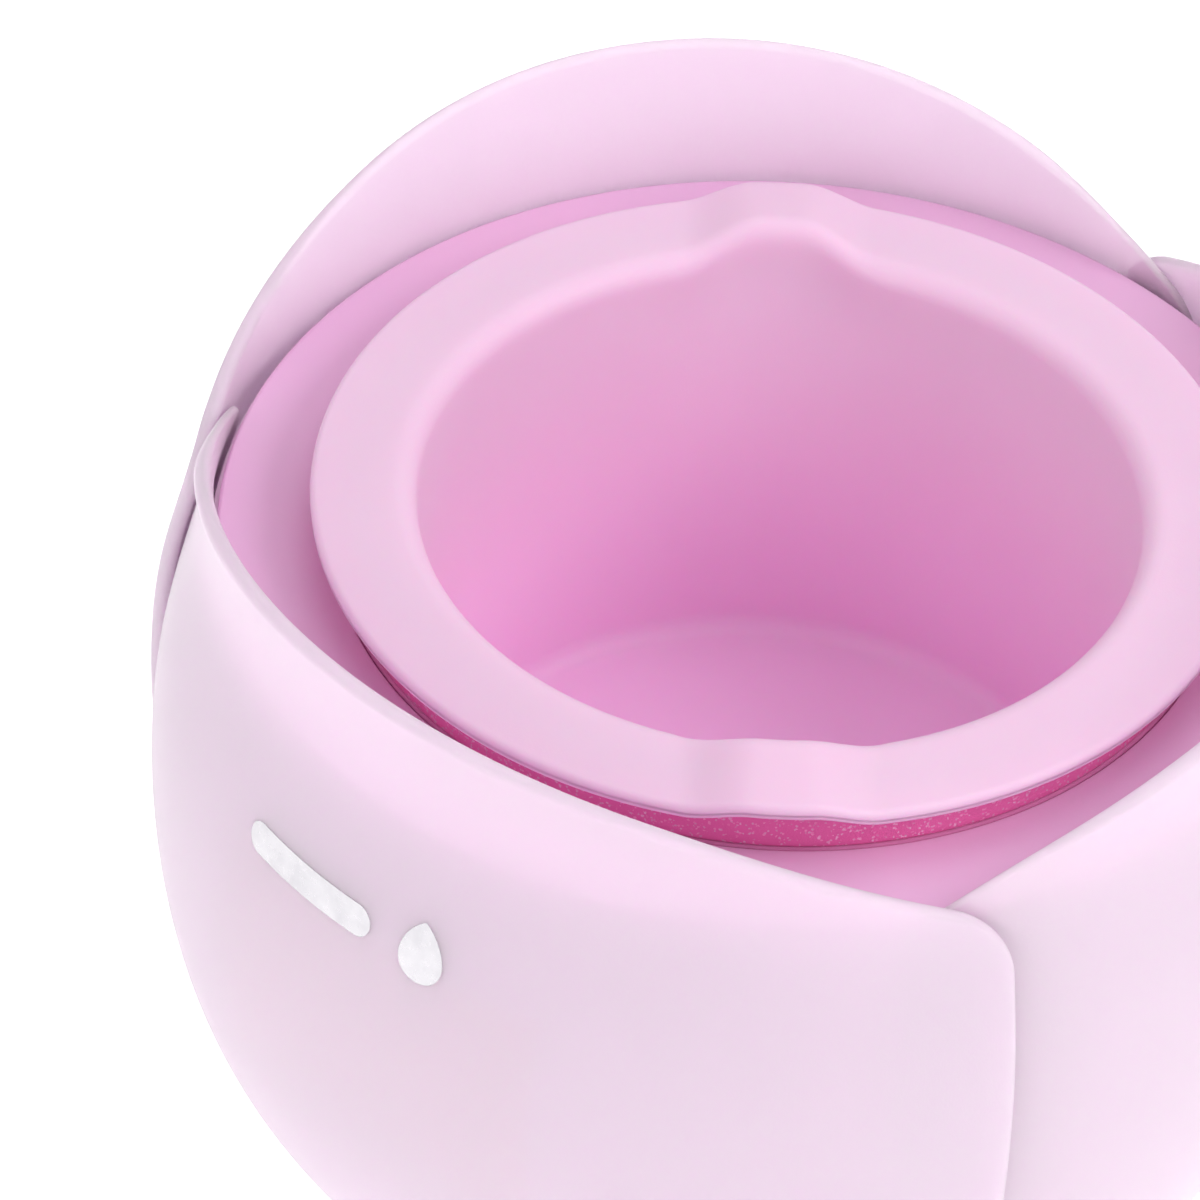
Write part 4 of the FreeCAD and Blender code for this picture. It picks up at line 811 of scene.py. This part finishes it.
# ---------------------------------------------------------------------------------------------------
# Printed mark on the front petal, and the display's legends
# ---------------------------------------------------------------------------------------------------
INK = 0.05
MARK_HEIGHT = 103.4
BAR_CENTRE = -8.6
BAR_LENGTH = 26.0
BAR_WIDTH = 5.0
DROP_CENTRE = 13.4
DROP_RISE = 0.6
DROP_LENGTH = 9.8
DROP_WIDTH = 7.4
DROP_TAPER = 0.8
DIGIT_HALF_HEIGHT = 5.0
DIGIT_LEFTS = (-5.5, 5.5)
SEGMENT_WIDTH = 1.1
SEGMENT_GAP = 0.5
KEY_RADIUS = 4.0
KEY_LINE = 0.5


def on_petal(across, up, proud):
    """A point on the front petal's outer face, from arc lengths across and heights, in millimetres."""
    azimuth = np.degrees(across / BULB_RADII.max())
    radius, slope = petal_surface(azimuth, up)
    steep = np.sqrt(1 + slope**2)
    return polar(radius + proud / steep, azimuth, up - proud * slope / steep)


def on_window(across, up, proud):
    """A point on the display window's face."""
    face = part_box("display_window")[0].y / MM
    across, up, proud = np.broadcast_arrays(across, up, proud)
    return np.stack([across, face - proud, up], axis=-1) * MM


def printed(name, across, up, surface, slot, finish, ring=False):
    """A thin layer of print on a surface, from grids of places on it."""
    points, faces = slab(surface(across, up, INK), surface(across, up, -INK), ring)
    piece = mesh_piece(name, points, faces, "warmer", slot)
    piece.data.materials[0] = FINISHES[finish]
    return piece


def lens_grid(centre, length, half_width, turn=0.0, columns=49):
    """A shape along a line: half_width gives its half width at each share (-1 to 1) of its length."""
    share = np.sin(np.linspace(-math.pi / 2, math.pi / 2, columns))
    along = share * length / 2
    across = np.linspace(-1, 1, 7)[:, None] * half_width(share)[None, :]
    along = np.broadcast_to(along, across.shape)
    angle = math.radians(turn)
    x = centre[0] + along * math.cos(angle) - across * math.sin(angle)
    y = centre[1] + along * math.sin(angle) + across * math.cos(angle)
    return x, y


def pill(length, width):
    """Half widths of a bar with round ends."""
    radius = width / 2

    def half_width(share):
        into_end = np.clip(np.abs(share) * length / 2 - (length / 2 - radius), 0, radius)
        return np.sqrt(np.maximum(radius**2 - into_end**2, 0))

    return half_width


def drop(width):
    """Half widths of a drop that is pointed at +1 and round at -1."""
    widest = 0.5 / (0.5 + DROP_TAPER)
    fullness = 1 / (math.sqrt(widest) * (1 - widest) ** DROP_TAPER)

    def half_width(share):
        along = np.clip((share + 1) / 2, 0, 1)
        return width / 2 * fullness * np.sqrt(along) * (1 - along) ** DROP_TAPER

    return half_width


def make_mark():
    """A generic silver mark: a long bar and a wax drop."""
    x, z = lens_grid((BAR_CENTRE, MARK_HEIGHT), BAR_LENGTH, pill(BAR_LENGTH, BAR_WIDTH))
    printed("mark_bar", x, z, on_petal, "petal_frost", "silver_print")
    x, z = lens_grid((DROP_CENTRE, MARK_HEIGHT + DROP_RISE), DROP_LENGTH, drop(DROP_WIDTH), turn=90)
    printed("mark_drop", x, z, on_petal, "petal_frost", "silver_print")


# Each segment's place from a figure's centre, across and up in half heights, and its turn.
SEGMENTS = {
    "a": (0, 1, 0),
    "b": (0.5, 0.5, 90),
    "c": (0.5, -0.5, 90),
    "d": (0, -1, 0),
    "e": (-0.5, -0.5, 90),
    "f": (-0.5, 0.5, 90),
    "g": (0, 0, 0),
}


def make_digits():
    """Two figures of seven segments each on the display, reading 88."""
    middle = middle_height("digit_module")
    length = DIGIT_HALF_HEIGHT - SEGMENT_GAP
    for number, left in enumerate(DIGIT_LEFTS):
        for letter, (right, up, turn) in SEGMENTS.items():
            centre = (left + right * DIGIT_HALF_HEIGHT, middle + up * DIGIT_HALF_HEIGHT)
            x, z = lens_grid(centre, length, pill(length, SEGMENT_WIDTH), turn, columns=15)
            printed(f"digit_{number}_{letter}", x, z, on_window, "window_plastic", "display_ink")


def make_keys():
    """A ring round each touch key."""
    row = middle_height("touch_pads")
    spacing = reach("touch_pads") - KEY_RADIUS
    turns = np.radians(np.arange(0, 360, 7.5))[None, :]
    rings = np.array([KEY_RADIUS - KEY_LINE, KEY_RADIUS])[:, None]
    for number, centre in enumerate((-spacing, 0, spacing)):
        printed(f"key_ring_{number}", centre + rings * np.cos(turns), row + rings * np.sin(turns),
                on_window, "window_plastic", "display_ink", ring=True)


# ---------------------------------------------------------------------------------------------------
# CAD nodes that keep their own shape
# ---------------------------------------------------------------------------------------------------
def finish_cad_nodes():
    """Gives each CAD node's material slots the finish of the same name."""
    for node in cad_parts.values():
        for slot in node.material_slots:
            slot.material = FINISHES[slot.material.name.split(".")[0]]


# ---------------------------------------------------------------------------------------------------
# Floor, light and camera
# ---------------------------------------------------------------------------------------------------
RIM_CENTRE = Vector((0, 0, POT_TOP + FLANGE_THICK / 2)) * MM


def make_floor():
    """A large pale floor."""
    size = 6.0
    below_soles = 0.0002
    corners = [(x * size, y * size, -below_soles) for x, y in ((-1, -1), (1, -1), (1, 1), (-1, 1))]
    mesh = bpy.data.meshes.new("floor")
    mesh.from_pydata(corners, [], [(0, 1, 2, 3)])
    floor = bpy.data.objects.new("floor", mesh)
    bpy.context.scene.collection.objects.link(floor)
    paper = Finish("floor_paper", (250, 250, 250), 0.9)
    paper.colour(paper.blend(paper.noise(4), (252, 252, 252), (247, 247, 248)))
    paper.set("Emission Color", (1, 1, 1, 1))
    paper.set("Emission Strength", 0.5)
    floor.data.materials.append(paper.material)


def soft_light(name, azimuth, elevation, distance, size, power):
    """A square soft box that looks at the rim's centre."""
    light = bpy.data.lights.new(name, "AREA")
    light.size = size
    light.energy = power
    holder = bpy.data.objects.new(name, light)
    turn, lift = math.radians(azimuth), math.radians(elevation)
    away = Vector((math.sin(turn) * math.cos(lift), -math.cos(turn) * math.cos(lift), math.sin(lift)))
    holder.location = RIM_CENTRE + away * distance
    holder.rotation_euler = away.to_track_quat("Z", "Y").to_euler()
    bpy.context.scene.collection.objects.link(holder)


def make_lights():
    """A key light from the right, a weaker fill from the front, one from above and an even pale sky."""
    soft_light("key_light", 112, 40, 1.2, 0.6, 5.7)
    soft_light("fill_light", 6, 26, 1.5, 0.7, 4.2)
    soft_light("top_light", 200, 78, 1.3, 1.0, 2.1)
    world = bpy.data.worlds.new("studio")
    world.use_nodes = True
    world.node_tree.nodes["Background"].inputs["Color"].default_value = (1.0, 0.99, 1.0, 1)
    world.node_tree.nodes["Background"].inputs["Strength"].default_value = 0.66
    bpy.context.scene.world = world
    bpy.context.scene.view_settings.view_transform = "Standard"


def make_camera():
    """A long lens that looks down at the rim over the seam of two petals, rolled a little."""
    azimuth, elevation, roll = math.radians(41.27), math.radians(41.91), math.radians(3.27)
    distance, aside, below = 1.320, -0.0253, -0.0138
    turn = Matrix.Rotation(azimuth, 3, "Z")
    forward = turn @ Vector((0, math.cos(elevation), -math.sin(elevation)))
    level = turn @ Vector((1, 0, 0))
    upright = level.cross(forward)
    right = math.cos(roll) * level + math.sin(roll) * upright
    up = math.cos(roll) * upright - math.sin(roll) * level
    data = bpy.data.cameras.new("camera")
    data.lens = 282.4
    data.sensor_width = 36
    data.clip_end = 20
    camera = bpy.data.objects.new("camera", data)
    place = Matrix((right, up, -forward)).transposed().to_4x4()
    place.translation = RIM_CENTRE - forward * distance + right * aside + up * below
    camera.matrix_world = place
    bpy.context.scene.collection.objects.link(camera)
    bpy.context.scene.camera = camera


# ---------------------------------------------------------------------------------------------------
# The whole object
# ---------------------------------------------------------------------------------------------------
finish_cad_nodes()
make_petals()
make_liner()
make_pot()
make_deck()
make_seal()
make_mark()
make_digits()
make_keys()
make_floor()
make_lights()
make_camera()
